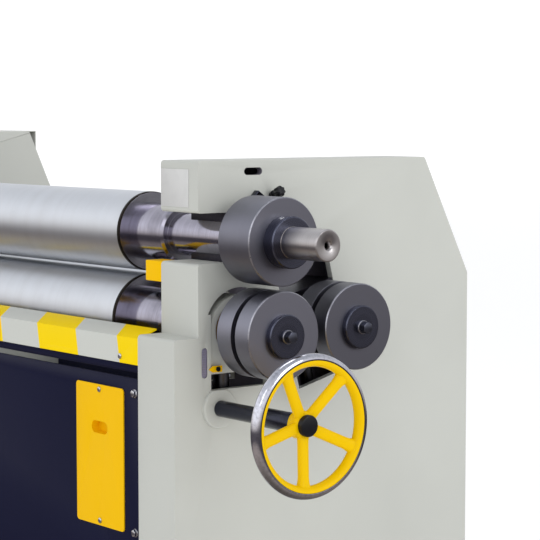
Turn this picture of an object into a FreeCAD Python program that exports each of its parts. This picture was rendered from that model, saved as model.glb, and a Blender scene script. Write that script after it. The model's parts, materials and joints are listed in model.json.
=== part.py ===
import FreeCAD, Part
import Sketcher
import math
import os
from types import SimpleNamespace

# A floor-standing three-roll plate bender with a top roll that swings out.
#
# Lengths are in millimetres and angles in degrees. Places are measured from the top roll's axis,
# where it crosses the outer face of the right housing: X runs right along the rolls, Y to the
# rear and Z up. place() moves them to the model's own origin, which is on the floor in the
# middle of the rectangle of anchor holes.

SIZES = {
    # The machine as a whole
    "base_length": 2056,
    "base_depth": 803,
    "base_height": 180,
    "front_reach": 163,
    "axis_height": 950,
    "bay_length": 1510,
    "fit": 0.05,
    "guide_gap": 0.4,
    "thrust_gap": 0.4,
    # Base frame
    "rail_width": 75,
    "rail_wall": 10,
    "anchor_radius": 11,
    "anchor_inset": 35,
    "anchor_end": 98,
    "tube_width": 100,
    "tube_wall": 8,
    # Housings
    "housing_width": 126,
    "left_housing_width": 180,
    "plate": 15,
    "rim": 12,
    "corner_radius": 8,
    "step_drop": 195,
    "column_reach": 104,
    "left_column_reach": 130,
    "housing_top": 157,
    "left_housing_top": 200,
    "roof_back": 508,
    "slope_drop": 101,
    "notch_drop": 48,
    "notch_rise": 53,
    "notch_back": 63,
    "top_roll_opening": 60,
    # Windows that guide the bearing blocks
    "window_half": 72,
    "window_floor": 117,
    "window_shoulder": 36,
    "arch_radius": 87.5,
    "rear_window_floor": 126,
    "rear_window_roof": 175,
    "stub_opening": 45,
    "stub_rise": 12,
    "stub_fall": 20,
    # Small openings and marks on the right housing
    "sight_front": 88.65,
    "sight_low": 270.15,
    "sight_high": 222.85,
    "sight_radius": 6.85,
    "scale_thickness": 2,
    "scale_margin": 4,
    "lift_front": 19.5,
    "lift_back": 50.5,
    "lift_height": 134.5,
    "lift_radius": 7.5,
    "boss_reach": 40.5,
    "boss_proud": 8,
    "boss_rounding": 4,
    # Rolls
    "top_roll_radius": 85,
    "pinch_roll_radius": 95,
    "rear_roll_radius": 85,
    "rolling_gap": 6,
    "rear_back": 195,
    "rear_drop": 180,
    "rear_lean": 14.4,
    "top_neck": 61,
    "pinch_neck": 66,
    "rear_neck": 60,
    "top_journal": 45,
    "pinch_journal": 50,
    "rear_journal": 45,
    "stub_radius": 31.6,
    "seat_step": 0.4,
    "relief_width": 2,
    "relief_depth": 1,
    "tail_radius": 32,
    "drive_stub_radius": 35,
    "shoulder_setback": 180,
    "pinch_extra": 5,
    "neck_setback": 60,
    "left_shoulder_setback": 60,
    "left_neck_setback": 12,
    "edge_break": 2,
    "neck_break": 5,
    "top_shaft_end": 277,
    "lower_shaft_end": 140,
    "centre_hole": 10,
    # Section rolls outside the right housing
    "top_section_start": 44,
    "section_start": 40,
    "section_end": 143,
    "top_section_radius": 88.3,
    "front_section_radius": 89.3,
    "rear_section_radius": 88.1,
    "groove_start": 86.5,
    "groove_end": 100.5,
    "groove_radius": 51,
    "collar_radius": 51.5,
    "collar_end": 171,
    "end_washer_radius": 44,
    "end_washer_thickness": 12,
    "end_bolt_shank": 7,
    "end_bolt_depth": 45,
    "end_bolt_head": 14,
    "end_bolt_flats": 21,
    "end_bolt_flange": 14,
    "end_bolt_flange_thickness": 3,
    # Top roll's bearings
    "shoe_inner_gap": 2,
    "shoe_front": 30,
    "shoe_back": 62,
    "yoke_half": 58,
    "yoke_foot": 58,
    "yoke_cheek": 22,
    "yoke_roof_low": 100,
    "yoke_roof_high": 140,
    "pivot_setback": 90,
    "pin_radius": 25,
    "pin_end": 104,
    "pin_head_radius": 40,
    "pin_head": 14,
    "boss_radius": 45,
    "bush_wall": 6,
    # Gears
    "gear_face": 40,
    "gear_side_gap": 4,
    "gear_tooth": 22.5,
    "top_gear_teeth": 17,
    "pinch_gear_teeth": 19,
    "gear_root_half": 8,
    "gear_tip_half": 3,
    "top_gear_tip": 95,
    "pinch_gear_tip": 105,
    "top_gear_seat": 36,
    "pinch_gear_seat": 42,
    # Bearing blocks and their bushes
    "block_outer_gap": 3,
    "block_inner_gap": 2,
    "left_block_gap": 4,
    "left_block_end": 68,
    "pinch_block_foot": 85,
    "rear_block_half": 72,
    "block_bush_wall": 8,
    # Jacking screws, nuts and the shafts that turn them
    "pinch_screw_radius": 17,
    "rear_screw_radius": 15,
    "pinch_screw_end": 244,
    "rear_screw_end": 325,
    "pinch_jack_depth": 154,
    "rear_jack_depth": 200,
    "right_jack_setback": 63,
    "left_jack_setback": 50,
    "wheel_radius": 33,
    "wheel_half": 12,
    "nut_teeth": 12,
    "wheel_tooth_depth": 3,
    "wheel_tooth_half": 3,
    "collar_thickness": 12,
    "nut_collar_radius": 31,
    "hub_radius": 26,
    "hub_end": 55,
    "bracket_thickness": 20,
    "bracket_half": 50,
    "worm_centres": 54,
    "worm_radius": 20.4,
    "worm_half": 20,
    "hand_shaft_radius": 16.5,
    "rear_shaft_radius": 14,
    "rear_shaft_setback": 6,
    "rear_worm_radius": 20.4,
    # Handwheel
    "wheel_plane": 288,
    "rim_centre_radius": 127,
    "rim_tube_radius": 13,
    "spoke_half_width": 12.5,
    "spoke_half_depth": 8,
    "spoke_count": 5,
    "first_spoke": 29,
    "wheel_hub_radius": 28,
    "wheel_hub_half": 13,
    "wheel_dish": 24,
    "wheel_cap_radius": 21,
    "wheel_cap": 12,
    "sleeve_radius": 19.5,
    "sleeve_start": 160,
    # Thickness pointer
    "pointer_front": 79,
    "pointer_back": 47,
    "pointer_height": 260,
    "pointer_half": 6.4,
    "pointer_tip": 9,
    "pointer_gap": 1,
    "pointer_sheet": 3,
    "pointer_screw_front": 58,
    "pointer_boss": 5,
    "pointer_screw_head": 5,
    "pointer_screw_depth": 2.5,
    # Small parts on the right housing
    "lug_front": 27.6,
    "lug_back": 54.3,
    "lug_tip": 38.6,
    "lug_low": 62,
    "lug_shoulder": 85,
    "lug_high": 96.4,
    "lug_thickness": 14,
    "knob_back": 81,
    "knob_height": 84,
    "knob_tilt": 18,
    "knob_stem": 6,
    "knob_stem_depth": 18,
    "knob_neck": 22,
    "knob_radius": 11.5,
    "knob_end": 38,
    "sign_low": 64,
    "sign_high": 140,
    "sign_margin": 1.5,
    "sign_right": 30,
    "sign_thickness": 1.2,
    "guard_length": 56,
    "guard_back": 60,
    "guard_low": 91,
    "guard_high": 49.2,
    # Covers, trim and bars between the housings
    "trim_top_front": 116,
    "trim_top": 186,
    "trim_fold": 203.5,
    "trim_foot": 258,
    "sheet": 3,
    "trim_screw_end": 64.5,
    "trim_screw_height": 244.8,
    "screw_head_radius": 6,
    "screw_head": 3,
    "screw_shank": 3,
    "screw_shank_depth": 8,
    "apron_front": 145,
    "apron_top": 290,
    "apron_flange": 40,
    "apron_sheet": 4,
    "apron_bolt_end": 37,
    "apron_bolt_height": 321,
    "apron_bolt_drop": 290,
    "apron_bolt_flats": 13,
    "apron_bolt_head": 5.5,
    "apron_bolt_washer": 9,
    "apron_bolt_washer_thickness": 2,
    "door_right": 76,
    "door_width": 178,
    "door_top": 316,
    "door_height": 300,
    "door_lap": 20,
    "door_screw": 10.5,
    "pull_drop": 91,
    "pull_half": 17,
    "pull_radius": 13,
    "tie_radius": 17,
    "front_tie_front": 138,
    "front_tie_height": 262,
    "low_tie_front": 70,
    "low_tie_height": 35,
    "rear_tie_inset": 80,
    "rear_tie_height": 140,
    "rear_low_tie_height": 70,
    "back_panel_inset": 40,
    "back_panel_low": 80,
    "back_panel_high": 310,
    # Drive and controls at the left end
    "gearbox_length": 180,
    "gearbox_gap": 14,
    "cabinet_room": 46,
    "gearbox_half": 110,
    "gearbox_height": 240,
    "gearbox_centre": 200,
    "gearbox_break": 14,
    "drive_stub_end": 150,
    "motor_radius": 85,
    "motor_length": 320,
    "motor_nose": 30,
    "motor_nose_radius": 60,
    "rear_motor_radius": 48,
    "rear_motor_length": 170,
    "rear_motor_flange": 58,
    "rear_motor_flange_thickness": 12,
    "rear_shaft_drive": 60,
    "louvre_count": 6,
    "louvre_pitch": 40,
    "louvre_front": 60,
    "louvre_back": 420,
    "louvre_height": 5,
    "louvre_low": 640,
    "panel_left": 16,
    "panel_width": 150,
    "panel_depth": 80,
    "panel_low": 30,
    "panel_high": 180,
    "stop_radius": 20,
    "button_radius": 14,
    "button_stem": 10,
    "button_cap": 8,
    "button_proud": 6,
    "button_depth": 20,
    "button_inset": 40,
    "button_row": 145,
    "switch_row": 90,
    "stop_row": 20,
}


class Size:
    """A number together with the formula that works it out from the sheet."""

    def __init__(self, value, text):
        self.value = value
        self.text = text

    def __add__(self, other):
        other = as_size(other)
        return Size(self.value + other.value, "(%s + %s)" % (self.text, other.text))

    def __sub__(self, other):
        other = as_size(other)
        return Size(self.value - other.value, "(%s - %s)" % (self.text, other.text))

    def __mul__(self, other):
        other = as_size(other)
        return Size(self.value * other.value, "(%s * %s)" % (self.text, other.text))

    def __truediv__(self, other):
        other = as_size(other)
        return Size(self.value / other.value, "(%s / %s)" % (self.text, other.text))

    def __radd__(self, other):
        return as_size(other) + self

    def __rsub__(self, other):
        return as_size(other) - self

    def __rmul__(self, other):
        return as_size(other) * self

    def __neg__(self):
        return Size(-self.value, "(0 - %s)" % self.text)


def as_size(thing):
    """Return a Size for a Size or a plain number."""
    if isinstance(thing, Size):
        return thing
    return Size(float(thing), "(%r)" % float(thing))


def cosine(angle):
    """Return the cosine of an angle in degrees as a Size."""
    return Size(math.cos(math.radians(angle.value)), "cos(%s)" % angle.text)


def sine(angle):
    """Return the sine of an angle in degrees as a Size."""
    return Size(math.sin(math.radians(angle.value)), "sin(%s)" % angle.text)


def hypotenuse(first, second):
    """Return the long side of a right triangle as a Size."""
    text = "sqrt(%s ^ 2 + %s ^ 2)" % (first.text, second.text)
    return Size(math.hypot(first.value, second.value), text)


doc = FreeCAD.newDocument("plate_roll")
sheet = doc.addObject("Spreadsheet::Sheet", "Sizes")
for row, (alias, number) in enumerate(SIZES.items(), start=1):
    sheet.set("A%d" % row, str(number))
    sheet.setAlias("A%d" % row, alias)
doc.recompute()
d = SimpleNamespace(**{alias: Size(float(number), "Sizes." + alias) for alias, number in SIZES.items()})

# Where the model's origin lies
RIGHT_END = d.base_length / 2
AXIS_Y = d.front_reach - d.base_depth / 2
AXIS_Z = d.axis_height

# Stations along the machine
FLOOR = -d.axis_height
BASE_TOP = FLOOR + d.base_height
BACK = d.base_depth - d.front_reach
RIGHT_INNER = -d.housing_width
LEFT_INNER = RIGHT_INNER - d.bay_length
LEFT_OUTER = LEFT_INNER - d.left_housing_width
LEFT_CAVITY_END = LEFT_INNER - d.plate
BASE_END = -d.base_length
GEARBOX_RIGHT = LEFT_OUTER - d.gearbox_gap
GEARBOX_LEFT = GEARBOX_RIGHT - d.gearbox_length
CABINET_END = GEARBOX_LEFT - d.cabinet_room
MIDDLE = RIGHT_INNER - d.bay_length / 2

# Roll axes and the top roll's seat for its section roll
TOP_SEAT = d.stub_radius + d.seat_step
PINCH_Z = -(d.top_roll_radius + d.pinch_roll_radius + d.rolling_gap)
REAR_Z = -d.rear_drop

# Gears and the swing pivot share one plane in the left housing
PIVOT_X = LEFT_INNER - d.pivot_setback
GEAR_RIGHT = PIVOT_X + d.gear_face / 2
GEAR_LEFT = PIVOT_X - d.gear_face / 2

# Bearing blocks and jacking screws
BLOCK_HALF = d.window_half - d.guide_gap
RIGHT_BLOCK = (RIGHT_INNER + d.block_inner_gap, -d.block_outer_gap)
LEFT_BLOCK = (LEFT_INNER - d.left_block_end, LEFT_INNER - d.left_block_gap)
BLOCKS = (RIGHT_BLOCK, LEFT_BLOCK)
JACKS = (-d.right_jack_setback, LEFT_INNER - d.left_jack_setback)
HAND_SHAFT = (-d.worm_centres, PINCH_Z - d.pinch_jack_depth)
HUB_PLANE = d.wheel_plane - d.wheel_dish


def rear_spot(across, along):
    """Return the Y and Z of a point given across and along the rear roll's slide."""
    y = d.rear_back + across * cosine(d.rear_lean) - along * sine(d.rear_lean)
    z = REAR_Z + across * sine(d.rear_lean) + along * cosine(d.rear_lean)
    return y, z


REAR_SHAFT = rear_spot(d.worm_centres, -d.rear_jack_depth)

PARTS = []

# An edge shorter than this along an axis runs square to that axis
NO_LENGTH = 0.001


def bind(thing, prop, size):
    """Tie one property of a thing to a size."""
    thing.setExpression(prop, as_size(size).text)


def place(thing, x, y, z, axis=None, angle=None):
    """Put a thing at a place measured from the top roll's axis, turned about an axis if asked."""
    if axis is not None:
        turn = FreeCAD.Rotation(FreeCAD.Vector(*axis), 1)
        thing.Placement = FreeCAD.Placement(FreeCAD.Vector(0, 0, 0), turn)
        bind(thing, "Placement.Rotation.Angle", angle)
    bind(thing, "Placement.Base.x", RIGHT_END + x)
    bind(thing, "Placement.Base.y", AXIS_Y + y)
    bind(thing, "Placement.Base.z", AXIS_Z + z)
    return thing


def keep(label, thing):
    """Give a finished sub-part its name and put it on the list to write."""
    thing.Label = label
    PARTS.append(thing)
    return thing


def block(x0, x1, y0, y1, z0, z1):
    """Make a box between two values of X, Y and Z."""
    box = doc.addObject("Part::Box", "block")
    bind(box, "Length", x1 - x0)
    bind(box, "Width", y1 - y0)
    bind(box, "Height", z1 - z0)
    return place(box, x0, y0, z0)


def leaning_block(x0, x1, across0, across1, along0, along1):
    """Make a box that leans with the rear roll's slide."""
    box = doc.addObject("Part::Box", "leaning_block")
    bind(box, "Length", x1 - x0)
    bind(box, "Width", across1 - across0)
    bind(box, "Height", along1 - along0)
    y, z = rear_spot(across0, along0)
    return place(box, x0, y, z, (1, 0, 0), d.rear_lean)


def rod(radius, x0, x1, y, z):
    """Make a cylinder along X."""
    bar = doc.addObject("Part::Cylinder", "rod")
    bind(bar, "Radius", radius)
    bind(bar, "Height", x1 - x0)
    return place(bar, x0, y, z, (0, 1, 0), 90)


def spindle(radius, x, y0, y1, z):
    """Make a cylinder along Y."""
    bar = doc.addObject("Part::Cylinder", "spindle")
    bind(bar, "Radius", radius)
    bind(bar, "Height", y1 - y0)
    return place(bar, x, y0, z, (-1, 0, 0), 90)


def post(radius, x, y, z0, z1):
    """Make an upright cylinder."""
    bar = doc.addObject("Part::Cylinder", "post")
    bind(bar, "Radius", radius)
    bind(bar, "Height", z1 - z0)
    return place(bar, x, y, z0)


def leaning_post(radius, x, along0, along1):
    """Make a cylinder that leans with the rear roll's slide, through the roll's axis."""
    bar = doc.addObject("Part::Cylinder", "leaning_post")
    bind(bar, "Radius", radius)
    bind(bar, "Height", along1 - along0)
    y, z = rear_spot(as_size(0), along0)
    return place(bar, x, y, z, (1, 0, 0), d.rear_lean)


def fuse(*pieces):
    """Join pieces into one solid."""
    joined = doc.addObject("Part::MultiFuse", "joined")
    joined.Shapes = list(pieces)
    return joined


def cut(base, *tools):
    """Cut tools away from a piece."""
    result = doc.addObject("Part::Cut", "cut")
    result.Base = base
    result.Tool = tools[0] if len(tools) == 1 else fuse(*tools)
    return result


def group(*pieces):
    """Hold separate solids of one kind together."""
    held = doc.addObject("Part::Compound", "group")
    held.Links = list(pieces)
    return held


def new_body(name):
    """Start a body made of sketches and features."""
    return doc.addObject("PartDesign::Body", name)


def new_sketch(body, role):
    """Start a sketch on one of the body's own origin planes."""
    plane = next(item for item in body.Origin.OriginFeatures if item.Role == role)
    sketch = body.newObject("Sketcher::SketchObject", body.Name + "_sketch")
    sketch.AttachmentSupport = [(plane, "")]
    sketch.MapMode = "FlatFace"
    return sketch


def fix(sketch, kind, geometry, point, size):
    """Fix one distance from the sketch's origin to a point."""
    size = as_size(size)
    number = sketch.addConstraint(Sketcher.Constraint(kind, -1, 1, geometry, point, size.value))
    sketch.setExpression("Constraints[%d]" % number, size.text)


def outline(sketch, points):
    """Draw a closed outline of straight lines through points given as sizes."""
    corners = [(as_size(x), as_size(y)) for x, y in points]
    first = len(sketch.Geometry)
    for here, after in zip(corners, corners[1:] + corners[:1]):
        start = FreeCAD.Vector(here[0].value, here[1].value, 0)
        end = FreeCAD.Vector(after[0].value, after[1].value, 0)
        sketch.addGeometry(Part.LineSegment(start, end), False)
    for number, (x, y) in enumerate(corners):
        following = first + (number + 1) % len(corners)
        sketch.addConstraint(Sketcher.Constraint("Coincident", first + number, 2, following, 1))
        fix(sketch, "DistanceX", first + number, 1, x)
        fix(sketch, "DistanceY", first + number, 1, y)


def circle(sketch, x, y, radius):
    """Draw a circle."""
    x, y, radius = as_size(x), as_size(y), as_size(radius)
    centre = FreeCAD.Vector(x.value, y.value, 0)
    number = sketch.addGeometry(Part.Circle(centre, FreeCAD.Vector(0, 0, 1), radius.value), False)
    tied = sketch.addConstraint(Sketcher.Constraint("Radius", number, radius.value))
    sketch.setExpression("Constraints[%d]" % tied, radius.text)
    fix(sketch, "DistanceX", number, 3, x)
    fix(sketch, "DistanceY", number, 3, y)


def pad(body, sketch, length):
    """Thicken a sketch along its normal."""
    feature = body.newObject("PartDesign::Pad", body.Name + "_pad")
    feature.Profile = sketch
    bind(feature, "Length", length)
    return feature


def revolve(body, sketch):
    """Turn a sketch right round its first axis."""
    feature = body.newObject("PartDesign::Revolution", body.Name + "_turned")
    feature.Profile = sketch
    feature.ReferenceAxis = (sketch, ["H_Axis"])
    feature.Angle = 360
    return feature


def repeat(body, feature, sketch, axis, count):
    """Repeat a feature evenly round an axis of its sketch."""
    pattern = body.newObject("PartDesign::PolarPattern", body.Name + "_repeat")
    pattern.Originals = [feature]
    pattern.Axis = (sketch, [axis])
    pattern.Angle = 360
    bind(pattern, "Occurrences", count)
    body.Tip = pattern
    return pattern


def soften(body, radius, wanted):
    """Round the edges of a body that pass a test, given in the body's own frame."""
    doc.recompute()
    tip = body.Tip
    names = []
    for number, edge in enumerate(tip.Shape.Edges, start=1):
        if wanted(edge):
            names.append("Edge%d" % number)
    feature = body.newObject("PartDesign::Fillet", body.Name + "_rounding")
    feature.Base = (tip, names)
    bind(feature, "Radius", radius)
    return feature


def runs_along_x(edge):
    """Say whether an edge is a straight one along X."""
    box = edge.BoundBox
    return max(box.YLength, box.ZLength) < NO_LENGTH


def runs_along_y(edge):
    """Say whether an edge is a straight one along Y."""
    box = edge.BoundBox
    return max(box.XLength, box.ZLength) < NO_LENGTH


def profile(name, points, x0, x1):
    """Make a piece of one outline, given in Y and Z, between two values of X."""
    body = new_body(name)
    sketch = new_sketch(body, "YZ_Plane")
    outline(sketch, points)
    pad(body, sketch, x1 - x0)
    return place(body, x0, as_size(0), as_size(0))


def turned(name, points, y, z, bore=0):
    """Make a round piece along X from its outline, given as X and radius."""
    body = new_body(name)
    sketch = new_sketch(body, "XZ_Plane")
    outline(sketch, [(points[0][0], bore)] + list(points) + [(points[-1][0], bore)])
    revolve(body, sketch)
    return place(body, as_size(0), y, z)


def hexagon(flats, length, x, y, z, axis, angle):
    """Make a hexagonal prism whose axis is turned away from Z."""
    prism = doc.addObject("Part::Prism", "hexagon")
    prism.Polygon = 6
    bind(prism, "Circumradius", flats / math.sqrt(3))
    bind(prism, "Height", length)
    return place(prism, x, y, z, axis, angle)


def channel(name, outer, side):
    """Make one base rail: a channel lying along X with its flanges turned outwards."""
    inner = outer + side * d.rail_width
    web = inner - side * d.rail_wall
    low = FLOOR + d.rail_wall
    high = BASE_TOP - d.rail_wall
    points = [(outer, FLOOR), (inner, FLOOR), (inner, BASE_TOP), (outer, BASE_TOP)]
    points += [(outer, high), (web, high), (web, low), (outer, low)]
    rail = profile(name, points, BASE_END, as_size(0))
    y = outer + side * d.anchor_inset
    holes = []
    for x in (-d.anchor_end, BASE_END + d.anchor_end):
        holes.append(post(d.anchor_radius, x, y, FLOOR, FLOOR + d.rail_wall))
    return cut(rail, *holes)


def base_rails():
    """Front and rear rails with the four anchor holes in their bottom flanges."""
    front = channel("front_rail", -d.front_reach, 1)
    rear = channel("rear_rail", BACK, -1)
    keep("base_rails", group(front, rear))


def base_cross_members():
    """Four box tubes that tie the rails together under the housings and the bay."""
    front = d.rail_width - d.front_reach
    back = BACK - d.rail_width
    low = FLOOR + d.rail_wall
    high = BASE_TOP - d.rail_wall
    left_middle = (LEFT_INNER + LEFT_OUTER) / 2
    right_middle = RIGHT_INNER / 2
    cabinet_middle = (BASE_END + LEFT_OUTER) / 2
    tubes = []
    for x in (right_middle, MIDDLE, left_middle, cabinet_middle):
        x0 = x - d.tube_width / 2
        x1 = x + d.tube_width / 2
        tube = block(x0, x1, front, back, low, high)
        wall = d.tube_wall
        hollow = block(x0 + wall, x1 - wall, front, back, low + wall, high - wall)
        tubes.append(cut(tube, hollow))
    keep("base_cross_members", group(*tubes))


def housing_outline(reach, top, inset, notched):
    """Return a housing's outline in Y and Z, drawn in by an even inset."""
    run = BACK - d.roof_back
    fall = top + d.slope_drop
    slope = hypotenuse(run, fall)
    front = inset - d.front_reach
    column = inset - reach
    step = -d.step_drop - inset
    points = [(front, BASE_TOP + inset), (BACK - inset, BASE_TOP + inset)]
    points.append((BACK - inset, -d.slope_drop - inset * (slope - fall) / run))
    points.append((d.roof_back - inset * (slope - run) / fall, top - inset))
    points.append((column, top - inset))
    if notched:
        points.append((column, d.notch_rise + inset))
        points.append((d.notch_back + inset, d.notch_rise + inset))
        points.append((d.notch_back + inset, -d.notch_drop - inset))
        points.append((column, -d.notch_drop - inset))
    points += [(column, step), (front, step)]
    return points


def shell(name, reach, top, notched, x0, x1):
    """Make a hollow housing: two plates joined by a rim all the way round."""
    none = as_size(0)
    solid = profile(name, housing_outline(reach, top, none, notched), x0, x1)
    def wanted(edge):
        """Pick the outer corners, but not the two on the base or the inside corner of the step."""
        y, z = edge.CenterOfMass.y, edge.CenterOfMass.z
        on_base = z < BASE_TOP.value + 1
        in_step = y > -d.front_reach.value + 1 and abs(z + d.step_drop.value) < 0.01
        outer = y < 1 - reach.value or z > top.value - 1
        return runs_along_x(edge) and outer and not on_base and not in_step

    soften(solid, d.corner_radius, wanted)
    hollow = housing_outline(reach, top, d.rim, notched)
    return solid, profile(name + "_hollow", hollow, x0 + d.plate, x1 - d.plate)


def front_window(x0, x1):
    """Make the tool for the pinch roll's window: straight guides under a round arch."""
    shoulder = PINCH_Z + d.window_shoulder
    guides = block(x0, x1, -d.window_half, d.window_half, PINCH_Z - d.window_floor, shoulder)
    keep_above = block(x0, x1, -d.arch_radius, d.arch_radius, shoulder, PINCH_Z + d.arch_radius)
    arch = doc.addObject("Part::Common", "arch")
    arch.Base = rod(d.arch_radius, x0, x1, as_size(0), PINCH_Z)
    arch.Tool = keep_above
    return [guides, arch]


def rear_window(x0, x1):
    """Make the tool for the rear roll's leaning window."""
    return leaning_block(x0, x1, -d.window_half, d.window_half, -d.rear_window_floor, d.rear_window_roof)


def leaning_knob_rod(radius, start, end):
    """Make a cylinder along the lock knob's axis, which tilts up from X."""
    bar = doc.addObject("Part::Cylinder", "knob_rod")
    bind(bar, "Radius", radius)
    bind(bar, "Height", end - start)
    x = start * cosine(d.knob_tilt)
    z = d.knob_height + start * sine(d.knob_tilt)
    return place(bar, x, d.knob_back, z, (0, 1, 0), 90 - d.knob_tilt)


def right_housing():
    """The right housing, with its open notch, guide windows, sight slot, lifting slot and shaft boss."""
    zero = as_size(0)
    solid, hollow = shell("right_shell", d.column_reach, d.housing_top, True, RIGHT_INNER, zero)
    face = d.boss_proud
    boss = turned("shaft_boss", [(-d.rim, d.boss_reach), (face, d.boss_reach)], *HAND_SHAFT)
    soften(boss, d.boss_rounding, lambda edge: edge.CenterOfMass.x > face.value - 1)
    solid = fuse(cut(solid, hollow), boss)
    tools = front_window(RIGHT_INNER, face) + [rear_window(RIGHT_INNER, zero)]
    tools.append(post_slot(d.sight_radius, d.sight_front, d.sight_low, d.sight_high))
    y0, y1, z = d.lift_front, d.lift_back, d.lift_height
    tools.append(block(-d.plate, zero, y0, y1, z - d.lift_radius, z + d.lift_radius))
    tools.append(rod(d.lift_radius, -d.plate, zero, y0, z))
    tools.append(rod(d.lift_radius, -d.plate, zero, y1, z))
    tools.append(rod(d.hand_shaft_radius + d.fit, RIGHT_INNER, face, *HAND_SHAFT))
    tools.append(rod(d.rear_shaft_radius + d.fit, RIGHT_INNER, -d.rear_shaft_setback, *REAR_SHAFT))
    tools.append(leaning_knob_rod(d.knob_stem + d.fit, -d.knob_neck, d.knob_neck))
    keep("right_housing", cut(solid, *tools))


def post_slot(radius, front, low, high):
    """Make the tool for the upright sight slot."""
    zero = as_size(0)
    middle = block(-d.plate, zero, -front - radius, radius - front, -low, -high)
    ends = [rod(radius, -d.plate, zero, -front, -low), rod(radius, -d.plate, zero, -front, -high)]
    return fuse(middle, *ends)


def left_housing():
    """The left housing, which holds the swing yoke, the gears and the left bearing blocks."""
    top = d.left_housing_top
    solid, hollow = shell("left_shell", d.left_column_reach, top, False, LEFT_OUTER, LEFT_INNER)
    boss_low = d.yoke_roof_high + d.thrust_gap
    boss = post(d.boss_radius, PIVOT_X, as_size(0), boss_low, top - d.rim)
    walls = fuse(cut(solid, hollow), boss)
    tools = front_window(LEFT_CAVITY_END, LEFT_INNER) + [rear_window(LEFT_CAVITY_END, LEFT_INNER)]
    tools.append(rod(d.top_roll_opening, LEFT_CAVITY_END, LEFT_INNER, as_size(0), as_size(0)))
    tools.append(rod(d.hand_shaft_radius + d.fit, LEFT_OUTER, LEFT_INNER, *HAND_SHAFT))
    tools.append(rod(d.rear_shaft_radius + d.fit, LEFT_OUTER, LEFT_INNER, *REAR_SHAFT))
    tools.append(post(d.pin_radius + d.fit, PIVOT_X, as_size(0), boss_low, top))
    low = PINCH_Z - d.stub_fall
    high = PINCH_Z + d.stub_rise
    plate_end = LEFT_OUTER + d.plate
    tools.append(block(LEFT_OUTER, plate_end, -d.stub_opening, d.stub_opening, low, high))
    tools.append(rod(d.stub_opening, LEFT_OUTER, plate_end, as_size(0), low))
    tools.append(rod(d.stub_opening, LEFT_OUTER, plate_end, as_size(0), high))
    keep("left_housing", cut(walls, *tools))


def king_pin():
    """The headed pin that the top roll's yoke swings about."""
    zero = as_size(0)
    shank = post(d.pin_radius, PIVOT_X, zero, d.pin_end, d.left_housing_top)
    head = post(d.pin_head_radius, PIVOT_X, zero, d.left_housing_top, d.left_housing_top + d.pin_head)
    keep("king_pin", fuse(shank, head))


def guard_block():
    """The yellow block beside the notch."""
    body = new_body("guard")
    sketch = new_sketch(body, "YZ_Plane")
    front = -d.column_reach
    back = -d.guard_back
    low = -d.guard_low
    high = -d.guard_high
    outline(sketch, [(front, low), (back, low), (back, high), (front, high)])
    pad(body, sketch, d.guard_length)
    place(body, RIGHT_INNER - d.guard_length, as_size(0), as_size(0))
    soften(body, d.edge_break, lambda edge: edge.CenterOfMass.x < d.guard_length.value - 1)
    keep("guard_block", body)


def sign_plate():
    """The bare plate on the front of the right column."""
    front = -d.column_reach
    x0 = RIGHT_INNER + d.sign_margin
    keep("sign_plate", block(x0, -d.sign_right, front - d.sign_thickness, front, d.sign_low, d.sign_high))


def scale_strip():
    """The plain steel strip behind the sight slot."""
    reach = d.sight_radius + d.scale_margin
    x0 = -d.plate - d.scale_thickness
    y0 = -d.sight_front - reach
    y1 = reach - d.sight_front
    keep("scale_strip", block(x0, -d.plate, y0, y1, -d.sight_low - reach, reach - d.sight_high))


def stop_lug():
    """The pointed black lug on the right housing's face."""
    points = [(d.lug_front, d.lug_low), (d.lug_back, d.lug_low), (d.lug_back, d.lug_shoulder)]
    points += [(d.lug_tip, d.lug_high), (d.lug_front, d.lug_shoulder)]
    body = profile("lug", points, as_size(0), d.lug_thickness)
    soften(body, d.edge_break, lambda edge: edge.CenterOfMass.x > 1)
    keep("stop_lug", body)


def lock_knob():
    """The lock screw with its round head."""
    stem = leaning_knob_rod(d.knob_stem, -d.knob_stem_depth, d.knob_neck)
    head = leaning_knob_rod(d.knob_radius, d.knob_neck, d.knob_end)
    keep("lock_knob", fuse(stem, head))


def front_trim():
    """The folded sheet below the pinch roll."""
    inner_fold = d.trim_fold + d.sheet
    front = -d.front_reach
    points = [(-d.trim_top_front, -d.trim_top), (front, -d.trim_fold), (front, -d.trim_foot)]
    points += [(d.sheet - d.front_reach, -d.trim_foot), (d.sheet - d.front_reach, -inner_fold)]
    points.append((-d.trim_top_front, -d.trim_top - d.sheet))
    body = profile("trim", points, LEFT_INNER, RIGHT_INNER)
    hole = spindle(d.screw_shank + d.fit, RIGHT_INNER - d.trim_screw_end, -d.front_reach,
                   d.sheet - d.front_reach, -d.trim_screw_height)
    other = spindle(d.screw_shank + d.fit, LEFT_INNER + d.trim_screw_end, -d.front_reach,
                    d.sheet - d.front_reach, -d.trim_screw_height)
    keep("front_trim", cut(body, hole, other))


DOOR_RIGHT = RIGHT_INNER - d.door_right
DOOR_LEFT = DOOR_RIGHT - d.door_width
DOOR_MIDDLE = (DOOR_LEFT + DOOR_RIGHT) / 2
DOOR_FOOT = -d.door_top - d.door_height
DOOR_SCREWS = (-d.door_top - d.door_screw, DOOR_FOOT + d.door_screw)
APRON_BACK = d.apron_sheet - d.apron_front


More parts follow.
